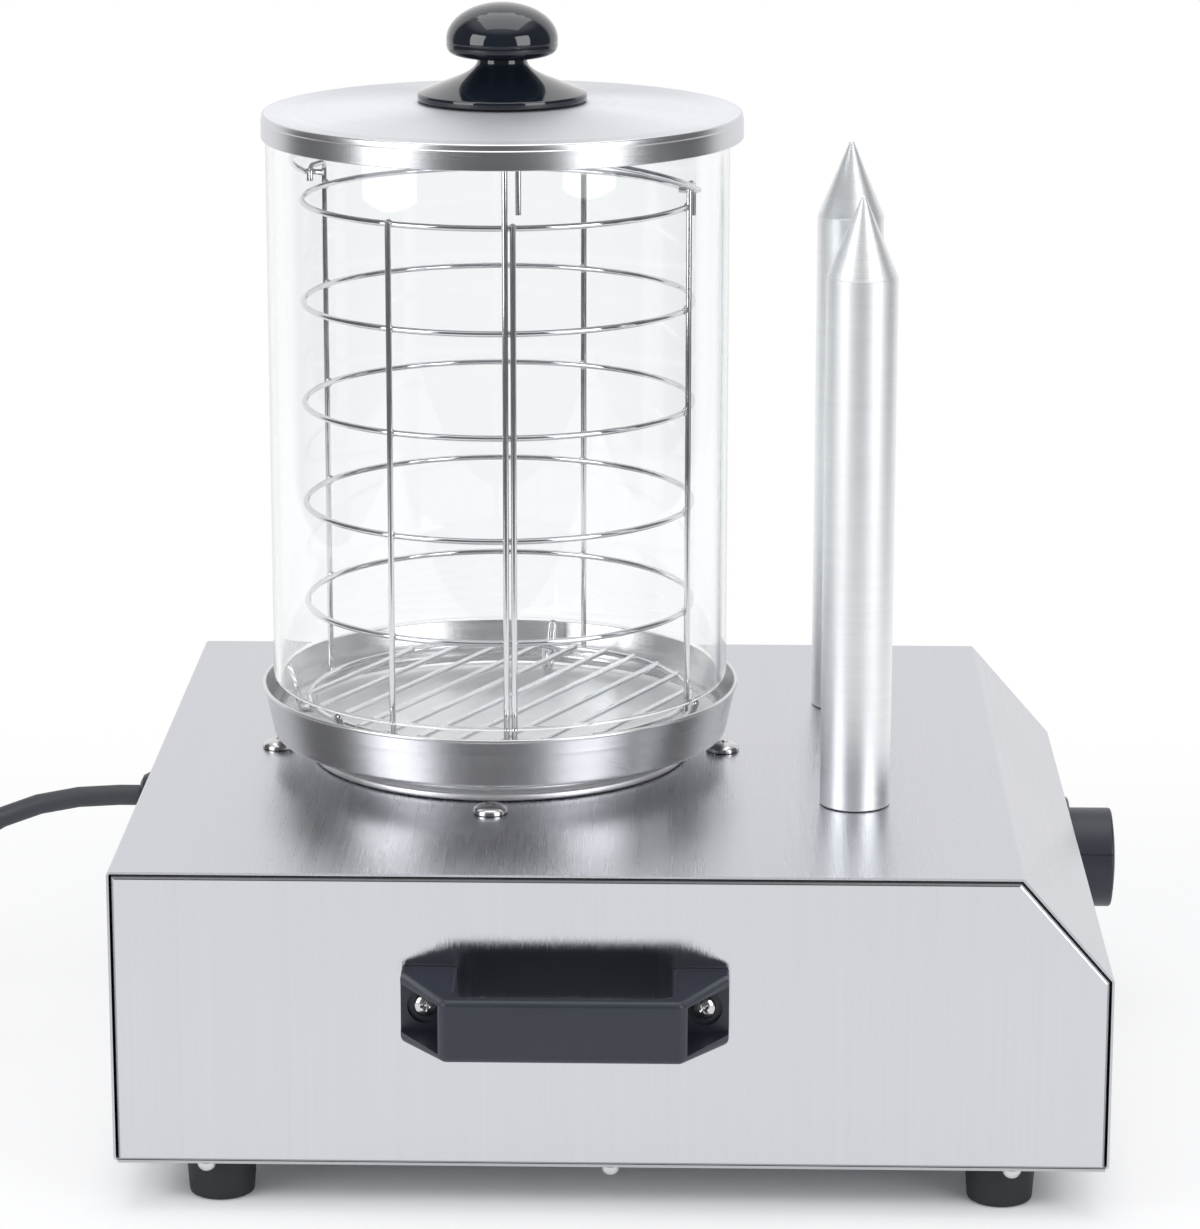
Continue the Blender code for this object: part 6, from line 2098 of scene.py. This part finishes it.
@dataclass
class Handles:
    """The two moulded carrying handles and the screws in their pockets."""

    middle_y: float = 0.0176
    middle_z: float = 0.0928
    length: float = 0.1334
    proud: float = 0.039
    grip_length: float = 0.0962
    grip_height: float = 0.026
    grip_thickness: float = 0.0065
    edge: float = 0.0025
    corner: float = 0.0035
    foot_height: float = 0.031
    foot_thickness: float = 0.009
    finger_gap: float = 0.0876
    finger_radius: float = 0.006
    arm: float = 0.0062
    pocket_floor: float = 0.0065
    pocket_height: float = 0.0205
    sink_radius: float = 0.0074
    sink_depth: float = 0.0018
    pitch: float = 0.1133
    bore: float = 0.0025
    past: float = 0.004
    screw: Screw = field(default_factory=lambda: Screw(0.0048, 0.003, 0.0022, 0.0133))

    def build(self) -> None:
        """Mould both handles and drive their screws."""
        seat = self.pocket_floor - self.sink_depth + GAP
        for name, side in (("left", -1), ("right", 1)):
            place = Matrix.Translation((side * (HALF_WIDTH + GAP), self.middle_y, self.middle_z))
            turn = Matrix.Rotation(0.0 if side > 0 else math.pi, 4, "Z")
            mesh = self.handle_mesh(f"moulded_{name}_handle", place @ turn)
            show(f"moulded_{name}_handle", mesh, BLACK_SATIN, [f"{name}_handle"])
            spots = [(side * (HALF_WIDTH + GAP + seat), self.middle_y + end * self.pitch / 2,
                      self.middle_z) for end in (-1, 1)]
            nodes = numbered("handle_screw", 2, 1 if side < 0 else 3)
            self.screw.drive(f"{name}_handle_screws", spots, (side, 0, 0), nodes, seed=7 + side)

    def handle_mesh(self, name: str, place: Matrix) -> bpy.types.Mesh:
        """Return one handle, cut from its outline, where it belongs.

        Args:
            name: The mesh's name.
            place: Where the handle goes.

        Returns:
            The mesh.
        """
        half, opening, grip = self.length / 2, self.finger_gap / 2, self.grip_length / 2
        inside = self.proud - self.grip_thickness
        outer = rounded([(0, -half, 0), (self.foot_thickness, -half, 0), (self.proud, -grip, 0),
                         (self.proud, grip, 0), (self.foot_thickness, half, 0), (0, half, 0)], self.corner, 5)
        inner = rounded([(0, opening, 0), (inside, opening, 0), (inside, -opening, 0),
                         (0, -opening, 0)], self.finger_radius, 6)
        body = moved(prism(outer + inner, self.grip_height),
                     Matrix.Translation((0, 0, -self.grip_height / 2)))
        rims = [edge for edge in body.edges if abs(edge.verts[0].co.z - edge.verts[1].co.z) < WELD]
        bmesh.ops.bevel(body, geom=rims, offset=self.edge, segments=4, affect="EDGES", profile=0.5,
                        clamp_overlap=True)
        for vert in body.verts:
            vert.co.z *= 1 + (self.foot_height / self.grip_height - 1) * (1 - vert.co.x / self.proud)
        across = Matrix(((0, 0, 1, 0), (1, 0, 0, 0), (0, 1, 0, 0), (0, 0, 0, 1)))
        pockets, sinks, bores = [], [], []
        tall = self.pocket_height / 2
        for end in (-1, 1):
            root, tip = end * (opening + self.arm), end * (half + self.past)
            outline = [(root, -tall), (tip, -tall), (tip, tall), (root, tall)]
            pockets.append(moved(prism(outline, self.proud),
                                 Matrix.Translation((self.pocket_floor, 0, 0)) @ across))
            spot = Matrix.Translation((0, end * self.pitch / 2, 0)) @ across
            sinks.append(moved(self.post(self.sink_radius, self.pocket_floor - self.sink_depth,
                                         self.pocket_floor + self.past), spot))
            bores.append(moved(self.post(self.bore, -self.past, self.pocket_floor), spot))
        steps = [gathered(forms) for forms in (pockets, sinks, bores)]
        mesh = carved(body, steps, name, sharp_above=35)
        mesh.transform(place)
        return mesh

    def post(self, radius: float, low: float, high: float) -> bmesh.types.BMesh:
        """Return a round cutter along Z between two heights."""
        return lathe([(0, high), (radius, high), (radius, low), (0, low)], 32)


@dataclass
class Controls:
    """The thermostat's pointer knob and dial, the rocker switch and the pilot lamp."""

    side: float = 0.088
    height: float = 0.071
    radius: float = 0.023
    shoulder: float = 0.0226
    reach: float = 0.0244
    edge: float = 0.0012
    wall: float = 0.0025
    hub: float = 0.007
    shaft: float = 0.003
    dial_thickness: float = 0.0022
    pointer_angle: float = 161.0
    pointer_width: float = 0.0008
    pointer_depth: float = 0.0006
    past: float = 0.002

    def build(self) -> None:
        """Turn the pointer knob and dress the rest of the controls."""
        show("pointer_knob", self.knob_mesh(), BLACK_SATIN, ["thermostat_knob"], Body.DIAL)
        dress(DIAL_PRINT, "dial_plate")
        dress(SCREW_STEEL, "thermostat_shaft")
        dress(BLACK_GLOSS, "power_rocker")
        dress(AMBER, "pilot_lamp")

    def knob_mesh(self) -> bpy.types.Mesh:
        """Return the knob with its rounded rim, shaft socket and pointer groove.

        Returns:
            The knob's mesh.
        """
        foot = 2 * GAP + self.dial_thickness
        ceiling = self.shoulder - self.wall
        bore_end = ceiling - self.wall
        socket = self.shaft + GAP
        rise = self.reach - self.shoulder
        crown = [((self.radius - self.edge) * k / 5, self.shoulder + rise * (1 - (k / 5) ** 2))
                 for k in range(5)]
        rim = arc((self.radius - self.edge, self.shoulder - self.edge), self.edge, 90, 0, 6)
        outline = [*crown, *rim, (self.radius, foot), (self.radius - self.wall, foot),
                   (self.radius - self.wall, ceiling), (self.hub, ceiling), (self.hub, foot), (socket, foot),
                   (socket, bore_end), (0, bore_end)]
        half = self.pointer_width / 2
        line = box((self.radius - self.pointer_depth, -half, foot + self.wall),
                   (self.radius + self.past, half, self.reach + self.past))
        moved(line, Matrix.Rotation(math.radians(self.pointer_angle), 4, "Z"))
        mesh = carved(lathe(outline, 96), [line], "pointer_knob", sharp_above=30)
        mesh.transform(Matrix.Translation((self.side, FRONT, self.height))
                       @ Matrix.Rotation(math.pi / 2, 4, "X"))
        return mesh


def main() -> None:
    """Build every sub-assembly in turn."""
    logging.basicConfig(level=logging.INFO, format="%(name)s: %(message)s", force=True)
    for assembly in (Studio(), MainsCable(), Housing(), Handles(), SteamPan(), GlassCylinder(), Basket(),
                     Lid(), Spikes(), Controls()):
        LOG.info("building %s", type(assembly).__name__)
        assembly.build()


if __name__ == "__main__":
    main()
